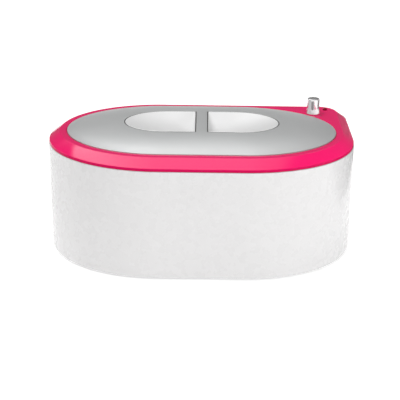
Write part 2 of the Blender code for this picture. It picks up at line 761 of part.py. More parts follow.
def build_fuse(plate_bottom):
    """The thermal fuse and the clip that holds it to the pressure plate."""
    place = fuse_place(plate_bottom)
    turned("thermal_fuse", capsule(FUSE_RADIUS, FUSE_HALF_LENGTH), BRASS, place, ACROSS, SMALL_STEPS)
    clip = box("fuse_clip", FUSE_CLIP, place, STEEL, 0.0008)
    bore = rod(FUSE_RADIUS + GAP, -FUSE_CLIP[0], FUSE_CLIP[0])
    cut(clip, turned("fuse_bore", bore, None, place, ACROSS, 16))


def sensor_place():
    """The middle of the sensor bulb, which lies along the rear of the tank's wall."""
    z = WRAP_BOTTOM - 0.0060
    y = DEPTH / 2 - tank_wall_inset(z) + TANK_WALL + SENSOR_RADIUS + SENSOR_CLEARANCE
    return Vector((SENSOR_X, y, z))


def build_thermostat():
    height = THERMOSTAT_HEIGHT
    centre = (KNOB_X, KNOB_Y, THERMOSTAT_TOP - height / 2)
    side = THERMOSTAT_SIDE
    body = box("thermostat_body", (side, side, height), centre, BLACK, 0.0010, THERMOSTAT_TURN)
    shoulder_top = DECK_TOP - DECK_WALL - GAP
    bushing = [
        (0, DECK_TOP + BUSHING_RISE),
        (BUSHING_RADIUS - 0.0004, DECK_TOP + BUSHING_RISE),
        (BUSHING_RADIUS, DECK_TOP + BUSHING_RISE - 0.0004),
        (BUSHING_RADIUS, shoulder_top),
        (SHOULDER_RADIUS, shoulder_top),
        (SHOULDER_RADIUS, THERMOSTAT_TOP - 0.0010),
        (0, THERMOSTAT_TOP - 0.0010),
    ]
    join(body, turned("bushing", bushing, None, (KNOB_X, KNOB_Y, 0)))
    bore = SHAFT_RADIUS + RUNNING_GAP
    drill(body, bore, THERMOSTAT_TOP - 0.0120, DECK_TOP + 0.02, KNOB_X, KNOB_Y, TURN_STEPS)
    low = DECK_TOP + GAP
    nut = prism("thermostat_nut", 6, NUT_SIDE_RADIUS, low, low + NUT_HEIGHT, KNOB_X, KNOB_Y, STEEL)
    drill(nut, BUSHING_RADIUS + GAP, 0.1, 0.2, KNOB_X, KNOB_Y, TURN_STEPS)
    build_sensor()


def build_sensor():
    place = sensor_place()
    turned("sensor_bulb", capsule(SENSOR_RADIUS, SENSOR_HALF_LENGTH), BRASS, place, ACROSS, SMALL_STEPS)
    foot = THERMOSTAT_TOP - THERMOSTAT_HEIGHT
    route = [
        place + Vector((SENSOR_HALF_LENGTH + GAP, 0, 0)),
        Vector((KNOB_X, place.y, place.z)),
        Vector((KNOB_X, KNOB_Y, place.z + 0.010)),
        Vector((KNOB_X, KNOB_Y, foot - GAP)),
    ]
    lead("capillary_tube", route, BRASS, CAPILLARY_RADIUS)


def build_lamp():
    top = DECK_TOP
    underside = DECK_TOP - DECK_WALL
    lens = [
        (0, top + LAMP_RISE),
        (0.5 * LAMP_RADIUS, top + 0.85 * LAMP_RISE),
        (0.9 * LAMP_RADIUS, top + 0.45 * LAMP_RISE),
        (LAMP_RADIUS, top),
        (LAMP_RADIUS, underside),
        (0, underside),
    ]
    turned("lamp_lens", lens, RED_LENS, (LAMP_X, LAMP_Y, 0), steps=16)
    body_top = underside - GAP
    body_bottom = body_top - LAMP_BODY_LENGTH
    cylinder("lamp_body", LAMP_BODY_RADIUS, body_bottom, body_top, LAMP_X, LAMP_Y, BLACK, 16)
    return body_bottom


def build_knob():
    top = KNOB_BOTTOM + KNOB_HEIGHT
    inner_top = KNOB_BOTTOM + KNOB_HOLLOW_HEIGHT
    shaft_hole = SHAFT_RADIUS + GAP
    hole_top = top - 0.0035
    profile = [
        (0, top),
        (0.62 * KNOB_RADIUS, top - 0.0002),
        (KNOB_RADIUS - 0.0011, top - 0.0007),
        (KNOB_RADIUS - 0.0002, top - 0.0018),
        (KNOB_RADIUS, top - 0.0032),
        (KNOB_RADIUS, KNOB_BOTTOM + KNOB_SKIRT_HEIGHT),
        (KNOB_RADIUS + 0.25 * (KNOB_SKIRT_RADIUS - KNOB_RADIUS), KNOB_BOTTOM + 0.5 * KNOB_SKIRT_HEIGHT),
        (KNOB_SKIRT_RADIUS, KNOB_BOTTOM + 0.0008),
        (KNOB_SKIRT_RADIUS - 0.0003, KNOB_BOTTOM),
        (KNOB_HOLLOW_RADIUS, KNOB_BOTTOM),
        (KNOB_HOLLOW_RADIUS, inner_top),
        (shaft_hole, inner_top),
        (shaft_hole, hole_top),
        (0, hole_top),
    ]
    cap = turned("knob_cap", profile, CHROME, (KNOB_X, KNOB_Y, 0), (0, 0, KNOB_TURN), 32)
    reach = KNOB_RADIUS - POINTER_DEPTH / 2
    x = KNOB_X + reach * math.sin(KNOB_TURN)
    y = KNOB_Y - reach * math.cos(KNOB_TURN)
    z = KNOB_BOTTOM + 0.0062 + POINTER_HEIGHT / 2
    groove = (POINTER_WIDTH + 2 * GAP, POINTER_DEPTH + 0.0010, POINTER_HEIGHT + 2 * GAP)
    cut(cap, box("pointer_groove", groove, (x, y, z), turn=KNOB_TURN))
    inlay = (POINTER_WIDTH, POINTER_DEPTH - 2 * GAP, POINTER_HEIGHT)
    pointer = box("knob_pointer", inlay, (x, y, z), BLACK, 0.0001, KNOB_TURN)
    shaft_bottom = THERMOSTAT_TOP - 0.0115
    shaft = [
        (0, hole_top - GAP),
        (SHAFT_RADIUS - 0.0005, hole_top - GAP),
        (SHAFT_RADIUS, hole_top - GAP - 0.0005),
        (SHAFT_RADIUS, shaft_bottom),
        (0, shaft_bottom),
    ]
    turning = [cap, pointer, turned("knob_shaft", shaft, STEEL, (KNOB_X, KNOB_Y, 0))]
    axis = bpy.data.objects.new("knob_axis", None)
    axis.location = (KNOB_X, KNOB_Y, 0)
    PARTS.objects.link(axis)
    for piece in turning:
        piece.parent = axis
        piece.location -= axis.location


def build_inlet():
    """The rear power inlet: a screwed plate with a socket, three pins and two screws."""
    plate_inner = inlet_floor() + GAP
    plate_y = plate_inner + INLET_PLATE[1] / 2
    plate_outer = plate_inner + INLET_PLATE[1]
    inlet = box("power_inlet", INLET_PLATE, (INLET_X, plate_y, INLET_Z), BLACK, 0.0008)
    body_y = plate_outer - 0.0010 - INLET_BODY[1] / 2
    join(inlet, box("inlet_body", INLET_BODY, (INLET_X, body_y, INLET_Z)))
    socket_floor = plate_outer - SOCKET[1]
    opening = (SOCKET[0], SOCKET[1] + 0.005, SOCKET[2])
    centre = (INLET_X, socket_floor + opening[1] / 2, INLET_Z)
    cut(inlet, box("inlet_socket", opening, centre, None, SOCKET_ROUND))
    tails = []
    for number, (shift, rise) in enumerate(((-PIN_PITCH, PIN_LOW), (0.0, PIN_HIGH), (PIN_PITCH, PIN_LOW))):
        x = INLET_X + shift
        z = INLET_Z + rise
        tails.append(build_pin(inlet, number, x, z, socket_floor, body_y - INLET_BODY[1] / 2))
    for number, side in enumerate((-1, 1)):
        x = INLET_X + side * INLET_SCREW_PITCH / 2
        hole = rod(SCREW_RADIUS + SCREW_CLEARANCE, -0.01, 0.01)
        cut(inlet, turned("plate_hole", hole, None, (x, plate_y, INLET_Z), FORWARD, SMALL_STEPS))
        pan_screw(f"inlet_screw_{number + 1}", (x, plate_outer + GAP, INLET_Z), INLET_SCREW_LENGTH, FORWARD)
    return tails


def build_pin(inlet, number, x, z, socket_floor, body_rear):
    """One contact pin through the inlet's floor, with its solder tail behind; gives the tail's end."""
    front = socket_floor + PIN_SIZE[1]
    back = body_rear - PIN_TAIL[1]
    length = front - back
    centre = (x, (front + back) / 2, z)
    names = ("neutral", "earth", "live")
    box(f"inlet_pin_{names[number]}", (PIN_SIZE[2], length, PIN_SIZE[0]), centre, BRASS, 0.0003)
    slot = (PIN_SIZE[2] + 2 * GAP, 0.05, PIN_SIZE[0] + 2 * GAP)
    cut(inlet, box("pin_slot", slot, (x, socket_floor - 0.02, z)))
    return Vector((x, back - GAP, z))


def port(number, side):
    """The mouth of a terminal block port; side +1 is its rear, -1 its front."""
    x = INLET_X + (number - 1) * PORT_PITCH
    y = BLOCK_Y + side * (BLOCK_SIZE[1] / 2 - PORT_DEPTH)
    return Vector((x, y, BASE_TOP + GAP + PORT_RISE))


def build_block():
    bottom = BASE_TOP + GAP
    centre = (INLET_X, BLOCK_Y, bottom + BLOCK_SIZE[2] / 2)
    block = box("terminal_block", BLOCK_SIZE, centre, GREY, 0.0010)
    for number in range(3):
        place = port(number, 0)
        bore = rod(PORT_RADIUS, -BLOCK_SIZE[1], BLOCK_SIZE[1])
        cut(block, turned("port_bore", bore, None, place, FORWARD, 16))
        screw_floor = bottom + 0.75 * BLOCK_SIZE[2]
        drill(block, PORT_SCREW_RADIUS, screw_floor, screw_floor + 0.03, place.x, place.y)


def rounded_route(corners, radius):
    """The corners of a route with each bend turned into a short arc."""
    points = [corners[0]]
    for before, here, after in zip(corners, corners[1:], corners[2:]):
        entry = (before - here).normalized()
        leave = (after - here).normalized()
        trim = min(radius, 0.45 * (before - here).length, 0.45 * (after - here).length)
        start = here + entry * trim
        end = here + leave * trim
        for share in (0.0, 0.33, 0.67, 1.0):
            points.append(start.lerp(here, share).lerp(here.lerp(end, share), share))
    points.append(corners[-1])
    return points


def lead(name, corners, material, radius=LEAD_RADIUS):
    """A round wire along a route with rounded bends."""
    points = rounded_route(corners, LEAD_BEND)
    curve = bpy.data.curves.new(name, "CURVE")
    curve.dimensions = "3D"
    curve.bevel_depth = radius
    curve.bevel_resolution = 1
    curve.use_fill_caps = True
    spline = curve.splines.new("POLY")
    spline.points.add(len(points) - 1)
    for index, point in enumerate(points):
        spline.points[index].co = (*point, 1.0)
    made = bpy.data.objects.new(name, curve)
    PARTS.objects.link(made)
    curve.materials.append(material)
    return made


def build_supply_leads(tails, plate_bottom):
    """From the inlet's tails to the thermostat, the terminal block and the earth tag."""
    neutral, earth, live = tails
    contact = Vector((KNOB_X + CONTACT_REACH, KNOB_Y, THERMOSTAT_TOP - THERMOSTAT_HEIGHT - GAP))
    lead("lead_live_in", [
        live,
        live + Vector((0, -0.0060, 0)),
        Vector((LEAD_CORNER_X, live.y - 0.0060, live.z)),
        Vector((contact.x, contact.y, live.z + 0.0100)),
        contact,
    ], WIRE_BROWN)
    mouth = port(0, 1)
    lead("lead_neutral_in", [
        neutral,
        neutral + Vector((0, -0.0080, 0)),
        mouth + Vector((0, 0.0140, 0)),
        mouth,
    ], WIRE_BLUE)
    tag = Vector((TAG_X, TAG_Y, plate_bottom - GAP))
    box("earth_tag", EARTH_TAG, tag - Vector((0, 0, EARTH_TAG[2] / 2)), BRASS)
    lead("lead_earth", [
        earth,
        earth + Vector((0, -0.0050, 0)),
        Vector((tag.x + 0.0100, tag.y + 0.0300, LEAD_HEIGHT + 0.0050)),
        Vector((tag.x, tag.y, LEAD_HEIGHT + 0.0040)),
        tag - Vector((0, 0, EARTH_TAG[2] + GAP)),
    ], WIRE_GREEN)


def build_heater_leads(plate_bottom):
    """From the thermostat through the terminal block to the fuse and the heater."""
    contact_z = THERMOSTAT_TOP - THERMOSTAT_HEIGHT - GAP
    contact = Vector((KNOB_X - CONTACT_SHIFT, KNOB_Y - CONTACT_REACH, contact_z))
    rear_mouth = port(2, 1)
    lead("lead_live_out", [
        contact,
        Vector((contact.x, contact.y, 0.0450)),
        rear_mouth + Vector((0, 0.0200, 0.0120)),
        rear_mouth + Vector((0, 0.0100, 0)),
        rear_mouth,
    ], WIRE_BROWN)
    fuse = fuse_place(plate_bottom)
    live_mouth = port(2, -1)
    lead("lead_heater_live", [
        live_mouth,
        live_mouth + Vector((0, -0.0160, 0)),
        Vector((live_mouth.x, fuse.y, fuse.z)),
        fuse + Vector((FUSE_HALF_LENGTH + GAP, 0, 0)),
    ], WIRE_BROWN)
    neutral_mouth = port(0, -1)
    tab = Vector((HEATER_TAB_X, HEATER_TAB_Y, plate_bottom - GAP))
    lead("lead_heater_neutral", [
        neutral_mouth,
        neutral_mouth + Vector((0, -0.0160, 0)),
        Vector((tab.x, tab.y, neutral_mouth.z)),
        tab,
    ], WIRE_BLUE)


def build_lamp_leads(lamp_bottom):
    """The pilot lamp's two leads, one to the terminal block and one to the thermostat."""
    mouth = port(1, 1)
    lead("lead_lamp_neutral", [
        Vector((LAMP_X, LAMP_Y + LAMP_TAIL, lamp_bottom - GAP)),
        Vector((LAMP_X, LAMP_Y + LAMP_TAIL, LEAD_HEIGHT + 0.0250)),
        Vector((mouth.x, mouth.y + 0.0220, LEAD_HEIGHT)),
        mouth + Vector((0, 0.0120, 0)),
        mouth,
    ], WIRE_BLUE)
    contact_z = THERMOSTAT_TOP - THERMOSTAT_HEIGHT - GAP
    contact = Vector((KNOB_X + CONTACT_SHIFT, KNOB_Y + CONTACT_REACH, contact_z))
    lead("lead_lamp_live", [
        Vector((LAMP_X, LAMP_Y - LAMP_TAIL, lamp_bottom - GAP)),
        Vector((LAMP_X, LAMP_Y - LAMP_TAIL, contact_z - 0.0180)),
        Vector((contact.x, contact.y, contact_z - 0.0180)),
        contact,
    ], WIRE_BROWN)


build_housing()
build_base()
build_bezel()
build_lid()
build_tank()
build_seal()
plate_underside = build_heater()
build_wrap()
build_fuse(plate_underside)
build_thermostat()
lamp_underside = build_lamp()
build_knob()
inlet_tails = build_inlet()
build_block()
build_supply_leads(inlet_tails, plate_underside)
build_heater_leads(plate_underside)
build_lamp_leads(lamp_underside)
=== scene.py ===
"""Wax warmer pot: the visual model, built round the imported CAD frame."""

import json
import math

import bmesh
import bpy
from mathutils import Matrix, Vector
from mathutils.geometry import delaunay_2d_cdt


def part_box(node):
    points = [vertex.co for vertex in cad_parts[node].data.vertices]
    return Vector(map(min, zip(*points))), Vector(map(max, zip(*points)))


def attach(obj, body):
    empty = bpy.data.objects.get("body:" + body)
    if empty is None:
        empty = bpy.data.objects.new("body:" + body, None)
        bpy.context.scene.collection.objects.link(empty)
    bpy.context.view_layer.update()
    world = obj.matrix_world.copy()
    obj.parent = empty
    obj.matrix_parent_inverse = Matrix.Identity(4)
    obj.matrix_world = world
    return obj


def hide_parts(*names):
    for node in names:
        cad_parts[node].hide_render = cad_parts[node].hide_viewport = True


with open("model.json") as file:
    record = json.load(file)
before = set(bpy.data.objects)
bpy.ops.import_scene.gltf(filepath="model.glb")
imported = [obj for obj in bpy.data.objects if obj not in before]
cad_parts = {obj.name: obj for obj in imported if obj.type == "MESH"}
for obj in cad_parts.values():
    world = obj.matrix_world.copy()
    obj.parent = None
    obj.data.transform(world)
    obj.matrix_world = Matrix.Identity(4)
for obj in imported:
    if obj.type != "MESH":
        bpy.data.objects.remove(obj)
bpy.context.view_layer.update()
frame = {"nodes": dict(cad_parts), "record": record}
NODES = frame["nodes"]

# Driving sizes of the plan, which the frame's boxes don't give
STRAIGHT_LENGTH = 0.100
CORNER_RADIUS = 0.035
QUARTER_STEPS = 40

HOUSING_LOW, HOUSING_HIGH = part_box("outer_housing")
_, BEZEL_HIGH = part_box("top_bezel")
_, LID_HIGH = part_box("lid_shell")
TANK_LOW, TANK_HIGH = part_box("inner_tank")
KNOB_LOW, KNOB_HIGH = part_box("knob_cap")
LENS_LOW, LENS_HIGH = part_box("lamp_lens")
INLET_LOW, INLET_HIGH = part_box("power_inlet")
HALF_WIDTH = HOUSING_HIGH[0]
HALF_DEPTH = HOUSING_HIGH[1]
HOUSING_TOP = HOUSING_HIGH[2]
HOUSING_BOTTOM = HOUSING_LOW[2]
DECK_TOP = BEZEL_HIGH[2]
END_AXIS = HALF_WIDTH - STRAIGHT_LENGTH / 2

# Walls and edges
GAP = 0.0003
WALL = 0.0028
DRAFT = 0.0015
EDGE_ROUND = 0.0045
RIM_THICKNESS = 0.0010
LIP_INSET = HALF_WIDTH - BEZEL_HIGH[0]
LIP_RISE = 0.0034
SLOPE_INSET = 0.0135
DECK_WALL = 0.0036
RIB_OUTER = WALL + 0.0006
RIB_INNER = RIB_OUTER + 0.0018
RIB_BOTTOM = HOUSING_TOP - 0.0040
LID_INSET = HALF_DEPTH - LID_HIGH[1]
OVAL_STRETCH = LID_HIGH[0] - (HALF_WIDTH - LID_INSET)
LID_GAP = 0.0007
LEDGE_TOP = DECK_TOP - 0.0020
LEDGE_BOTTOM = LEDGE_TOP - 0.0025
OPENING_INSET = 0.0310
RING_INSET = 0.0200
# Height over which the painted shade on the bezel's lower lip fades out upwards
LIP_SHADE_FADE = 0.0005

# Lid
LID_RISE = 0.0105
DOME_POWER = 4
LID_RIM_Z = DECK_TOP + 0.0006
LID_WALL = 0.0026
BRIDGE_WIDTH = 0.0130
SCOOP_REACH = 0.0940
SCOOP_STRAIGHT = 0.0437
SCOOP_HALF_DEPTH = 0.0425
SCOOP_FALL = 0.0145
SCOOP_CORNER = 0.0018
SCOOP_WALL = 0.0020
# Groove round each scoop: its width, its depth, and the rows of it that are painted dark grey as shade
GROOVE_WIDTH = 0.0013
GROOVE_DEPTH = 0.0005
SHADED_GROOVE_ROWS = (3, 7)
LID_EDGE = 0.0012
LID_RIB_FOOT = 0.0040

# Grid of points in the dome's skin, and how far it stays from its edges
GRID_PITCH = 0.0055
GRID_ROW_SHARE = 0.866
RIM_MARGIN = 0.0040
SCOOP_MARGIN = 0.0050

# Knob and the dial round it
KNOB_RADIUS = 0.0077
KNOB_FLARE = 0.0070
KNOB_BORE = 0.0066
KNOB_BORE_DEPTH = 0.0058
SHAFT_HOLE_RADIUS = 0.0043
DIAL_RADIUS = 0.0118
DIAL_START = -135
DIAL_PITCH = 45
DIAL_TICKS = 7

# Power inlet, the pocket round it, and the cross recess of a screw
INLET_PLATE = 0.0022
INLET_BODY = (0.0280, 0.0200)
INLET_BODY_SHORT = 0.0012
SOCKET_SIZE = (0.0245, 0.0165)
SOCKET_DEPTH = 0.0165
SOCKET_OVERRUN = 0.0050
POCKET_CUT = 0.030
POCKET_FLOOR = 0.0030
POCKET_WALL = 0.0025
POCKET_WINDOW = (0.0290, 0.040, 0.0210)
SCREW_SLOT = (0.0032, 0.0007, 0.0022)

# Camera, as seen in the photograph
CAMERA_ELEVATION = math.radians(20)
CAMERA_DISTANCE = 1.514
CAMERA_TARGET = Vector((0, 0, HOUSING_BOTTOM + 0.075))
CAMERA_ROLL = math.radians(0.76)
CAMERA_LENS = 110.5
CAMERA_SHIFT = (-0.0025, -0.0410)

# Studio
FLOOR_RADIUS = 1.8
FLOOR_GLOW = 0.45
ROOM_LIGHT = 0.76
HORIZON_LIGHT = 1.0
FLAG_SHARE = 0.13
FRONT_SHARE = 0.85
CARD_LIGHT = 0.07
CARD_OUTLINE = ((0.34, 0.02), (1.20, -0.10), (1.20, 1.00), (-0.10, 1.00), (-0.10, 0.30), (0.34, 0.30))
CARD_HEIGHT = 0.002
SOFTBOX_LIGHT = 2.55
FILL_PLACE = (1.30, -1.00, 0.50)
FILL_SIZE = (0.4, 0.7)
FILL_POWER = 8.0
FILL_TARGET = (0.10, 0, 0.08)

# Moulded and painted finishes: colour, the shade it drifts to, roughness, size and depth of the grain
MOULDED = {
    "base_grey": ((0.26, 0.26, 0.27), (0.30, 0.30, 0.31), (0.45, 0.60), 0.0008, 0.00006),
    "foot_rubber": ((0.03, 0.03, 0.03), (0.045, 0.045, 0.045), (0.75, 0.90), 0.0006, 0.00008),
    "seal_silicone": ((0.62, 0.13, 0.06), (0.70, 0.17, 0.08), (0.50, 0.65), 0.0008, 0.00004),
    "heater_mica": ((0.42, 0.28, 0.15), (0.32, 0.21, 0.10), (0.50, 0.70), 0.0030, 0.00008),
    "glass_fibre": ((0.80, 0.77, 0.66), (0.70, 0.66, 0.54), (0.85, 0.95), 0.0007, 0.00040),
    "black_plastic": ((0.018, 0.018, 0.019), (0.026, 0.026, 0.027), (0.38, 0.50), 0.0007, 0.00004),
    # Dark grey painted into the groove round each scoop, as shade
    "groove_shade_grey": ((0.10, 0.10, 0.10), (0.13, 0.13, 0.13), (0.55, 0.65), 0.0006, 0.00002),
    "pointer_grey": ((0.30, 0.30, 0.31), (0.34, 0.34, 0.35), (0.35, 0.45), 0.0005, 0.00001),
    "block_grey": ((0.62, 0.62, 0.60), (0.56, 0.56, 0.54), (0.40, 0.55), 0.0008, 0.00004),
    "lead_brown": ((0.16, 0.06, 0.025), (0.22, 0.08, 0.03), (0.40, 0.55), 0.0010, 0.00003),
    "lead_blue": ((0.02, 0.10, 0.46), (0.03, 0.13, 0.52), (0.40, 0.55), 0.0010, 0.00003),
    "lead_green": ((0.08, 0.40, 0.05), (0.60, 0.58, 0.06), (0.40, 0.55), 0.0040, 0.00003),
    "dial_print": ((0.10, 0.004, 0.020), (0.13, 0.005, 0.025), (0.40, 0.50), 0.0008, 0.00001),
}

# Bare metals: colour, shade, roughness, stretch of the marks, their size and depth
METALS = {
    "tank_aluminium": ((0.78, 0.79, 0.80), (0.70, 0.71, 0.72), (0.24, 0.42), (12, 1, 1), 0.0009, 0.00002),
    "zinc_steel": ((0.56, 0.57, 0.58), (0.62, 0.62, 0.60), (0.28, 0.42), (1, 1, 1), 0.0008, 0.00002),
    "brass_parts": ((0.72, 0.52, 0.20), (0.60, 0.42, 0.16), (0.22, 0.36), (1, 1, 6), 0.0006, 0.00001),
}


# ---------------------------------------------------------------- materials

def node_material(name):
    """A material, its Principled shader, and a real-scale coordinate that its textures read."""
    material = bpy.data.materials.new(name)
    material.use_nodes = True
    tree = material.node_tree
    shader = tree.nodes["Principled BSDF"]
    place = tree.nodes.new("ShaderNodeTexCoord")
    return material, tree, shader, place.outputs["Object"]


def noise(tree, place, size, detail=3.0, stretch=(1, 1, 1)):
    """Noise whose features are about size metres across."""
    mapping = tree.nodes.new("ShaderNodeMapping")
    mapping.inputs["Scale"].default_value = [1 / (size * share) for share in stretch]
    texture = tree.nodes.new("ShaderNodeTexNoise")
    texture.inputs["Scale"].default_value = 1.0
    texture.inputs["Detail"].default_value = detail
    tree.links.new(place, mapping.inputs["Vector"])
    tree.links.new(mapping.outputs["Vector"], texture.inputs["Vector"])
    return texture.outputs["Fac"]


def spread(tree, value, low, high):
    """Maps the middle of a noise to a range."""
    mapped = tree.nodes.new("ShaderNodeMapRange")
    mapped.inputs["From Min"].default_value = 0.3
    mapped.inputs["From Max"].default_value = 0.7
    mapped.inputs["To Min"].default_value = low
    mapped.inputs["To Max"].default_value = high
    tree.links.new(value, mapped.inputs["Value"])
    return mapped.outputs["Result"]


def ramp(tree, value, source, target):
    """A smooth step from one range to another."""
    mapped = tree.nodes.new("ShaderNodeMapRange")
    mapped.interpolation_type = "SMOOTHSTEP"
    mapped.inputs["From Min"].default_value, mapped.inputs["From Max"].default_value = source
    mapped.inputs["To Min"].default_value, mapped.inputs["To Max"].default_value = target
    tree.links.new(value, mapped.inputs["Value"])
    return mapped.outputs["Result"]


def math_node(tree, operation, first, second=None, number=0.0):
    """One Math node; without a second link its second value is a number."""
    node = tree.nodes.new("ShaderNodeMath")
    node.operation = operation
    tree.links.new(first, node.inputs[0])
    if second:
        tree.links.new(second, node.inputs[1])
    else:
        node.inputs[1].default_value = number
    return node.outputs["Value"]


def tint(tree, value, first, second, socket):
    """Blends two colours by a noise into a socket."""
    mix = tree.nodes.new("ShaderNodeMix")
    mix.data_type = "RGBA"
    mix.inputs["A"].default_value = (*first, 1)
    mix.inputs["B"].default_value = (*second, 1)
    tree.links.new(spread(tree, value, 0, 1), mix.inputs["Factor"])
    tree.links.new(mix.outputs["Result"], socket)


def bump(tree, shader, height, depth, strength=1.0):
    """Surface relief of a real depth in metres."""
    relief = tree.nodes.new("ShaderNodeBump")
    relief.inputs["Distance"].default_value = depth
    relief.inputs["Strength"].default_value = strength
    tree.links.new(height, relief.inputs["Height"])
    tree.links.new(relief.outputs["Normal"], shader.inputs["Normal"])


def moulded(name, colour, shade, roughness, grain, depth, coat=0.0, metallic=0.0):
    """A moulded or painted surface: slow colour drift, patchy gloss and a fine surface grain."""
    material, tree, shader, place = node_material(name)
    tint(tree, noise(tree, place, 0.06), colour, shade, shader.inputs["Base Color"])
    low, high = roughness
    tree.links.new(spread(tree, noise(tree, place, 0.012, 5), low, high), shader.inputs["Roughness"])
    bump(tree, shader, noise(tree, place, grain, 2), depth)
    shader.inputs["Metallic"].default_value = metallic
    shader.inputs["Coat Weight"].default_value = coat
    shader.inputs["Coat Roughness"].default_value = 0.06
    shader.inputs["Coat IOR"].default_value = 1.4
    return material


def metal(name, colour, shade, roughness, stretch, grain, depth):
    """Bare metal with rolling, drawing or turning marks along its stretched grain."""
    material, tree, shader, place = node_material(name)
    marks = noise(tree, place, grain, 4, stretch)
    tint(tree, noise(tree, place, 0.02, 4), colour, shade, shader.inputs["Base Color"])
    tree.links.new(spread(tree, marks, *roughness), shader.inputs["Roughness"])
    bump(tree, shader, marks, depth)
    shader.inputs["Metallic"].default_value = 1.0
    return material


def silver_paint(name, colour, shade, metallic):
    """Metallic paint: fine flakes under a satin clear coat."""
    material, tree, shader, place = node_material(name)
    tint(tree, noise(tree, place, 0.05), colour, shade, shader.inputs["Base Color"])
    flakes = tree.nodes.new("ShaderNodeTexVoronoi")
    flakes.inputs["Scale"].default_value = 2600
    tree.links.new(place, flakes.inputs["Vector"])
    tree.links.new(spread(tree, flakes.outputs["Distance"], 0.40, 0.48), shader.inputs["Roughness"])
    bump(tree, shader, flakes.outputs["Distance"], 0.000006)
    shader.inputs["Metallic"].default_value = metallic
    shader.inputs["Coat Weight"].default_value = 0.12
    shader.inputs["Coat Roughness"].default_value = 0.30
    return material


def bezel_pink():
    """Gloss pink, with painted shade along the thin lower lip: a deeper pink there, with less shine and
    no coat.
    """
    colour, shade = (1.00, 0.010, 0.165), (0.98, 0.009, 0.158)
    # Painted shade: the thin lower lip is coloured a darker pink than the rest of the bezel
    lip_shade_colour = (0.60, 0.003, 0.085)
    lip_gloss, gloss = 0.05, 0.5
    lip_coat, coat = 0.0, 0.3
    material = moulded("bezel_pink", colour, shade, (0.10, 0.16), 0.0018, 0.000010, coat)
    tree = material.node_tree
    shader = tree.nodes["Principled BSDF"]
    surface = shader.inputs["Base Color"].links[0].from_socket
    place = tree.nodes.new("ShaderNodeTexCoord")
    parts = tree.nodes.new("ShaderNodeSeparateXYZ")
    tree.links.new(place.outputs["Object"], parts.inputs["Vector"])
    lip_top = HOUSING_TOP + GAP + LIP_RISE
    edge = (lip_top - LIP_SHADE_FADE, lip_top)
    # Mask of the painted lip shade: full below the top of the lip, gone above it
    lip_shade = ramp(tree, parts.outputs["Z"], edge, (1, 0))
    mix = tree.nodes.new("ShaderNodeMix")
    mix.data_type = "RGBA"
    mix.inputs["B"].default_value = (*lip_shade_colour, 1)
    tree.links.new(lip_shade, mix.inputs["Factor"])
    tree.links.new(surface, mix.inputs["A"])
    tree.links.new(mix.outputs["Result"], shader.inputs["Base Color"])
    gloss_share = ramp(tree, parts.outputs["Z"], edge, (lip_gloss, gloss))
    tree.links.new(gloss_share, shader.inputs["Specular IOR Level"])
    coat_share = ramp(tree, parts.outputs["Z"], edge, (lip_coat, coat))
    tree.links.new(coat_share, shader.inputs["Coat Weight"])
    return material


def lens_red():
    """Deep red plastic of the pilot lamp's lens, a little uneven like moulded clear plastic."""
    material, tree, shader, place = node_material("lens_red")
    colour, shade = (0.20, 0.001, 0.012), (0.26, 0.002, 0.016)
    tint(tree, noise(tree, place, 0.002), colour, shade, shader.inputs["Base Color"])
    tree.links.new(spread(tree, noise(tree, place, 0.001), 0.06, 0.14), shader.inputs["Roughness"])
    bump(tree, shader, noise(tree, place, 0.0006), 0.00002)
    shader.inputs["Coat Weight"].default_value = 0.1
    return material


def dull(material):
    """Takes the shine off a small mark, so that it keeps its colour at a grazing angle."""
    material.node_tree.nodes["Principled BSDF"].inputs["Specular IOR Level"].default_value = 0.08
    return material


def make_materials():
    """Every finish of the object, by name."""
    made = {name: moulded(name, *row) for name, row in MOULDED.items()}
    made.update({name: metal(name, *row) for name, row in METALS.items()})
    dull(made["dial_print"])
    made["bezel_pink"] = bezel_pink()
    made["lens_red"] = dull(lens_red())
    white = ((0.70, 0.695, 0.695), (0.693, 0.688, 0.688))
    chrome = ((0.97, 0.96, 0.97), (0.95, 0.94, 0.95))
    made["housing_white"] = moulded("housing_white", *white, (0.26, 0.29), 0.0030, 0.000002, coat=0.15)
    made["knob_chrome"] = moulded("knob_chrome", *chrome, (0.16, 0.20), 0.0012, 0.000001, metallic=0.80)
    made["lid_silver"] = silver_paint("lid_silver", (0.635, 0.645, 0.645), (0.665, 0.675, 0.675), 0.75)
    made["scoop_silver"] = silver_paint("scoop_silver", (0.82, 0.82, 0.82), (0.85, 0.85, 0.85), 0.15)
    return made


MATERIALS = make_materials()


def dress_frame():
    """Gives every CAD node the material of its slot in the record; the knob's pointer gets pointer_grey
    instead.
    """
    for row in frame["record"]["subparts"]:
        node = NODES[row["node"]]
        finish = "pointer_grey" if row["node"] == "knob_pointer" else row["material_slot"]
        node.data.materials.clear()
        node.data.materials.append(MATERIALS[finish])


# ---------------------------------------------------------------- mesh tools

def arc_points(centre, radius, first, last, steps):
    """Points on an elliptical arc in plan, both ends included."""
    points = []
    for step in range(steps + 1):
        angle = first + (last - first) * step / steps
        x = centre[0] + radius[0] * math.cos(angle)
        points.append((x, centre[1] + radius[1] * math.sin(angle)))
    return points


def corner_quadrant(inset):
    """The squared-off rear right quadrant, from the right side round to the back."""
    centre = (HALF_WIDTH - CORNER_RADIUS, HALF_DEPTH - CORNER_RADIUS)
    radius = max(CORNER_RADIUS - inset, 0.001)
    straight = QUARTER_STEPS // 5
    arc = QUARTER_STEPS - 2 * straight
    points = [(HALF_WIDTH - inset, centre[1] * step / straight) for step in range(straight)]
    points += arc_points(centre, (radius, radius), 0, math.pi / 2, arc)
    flat = STRAIGHT_LENGTH / 2
    for step in range(1, straight + 1):
        points.append((centre[0] + (flat - centre[0]) * step / straight, HALF_DEPTH - inset))
    return points


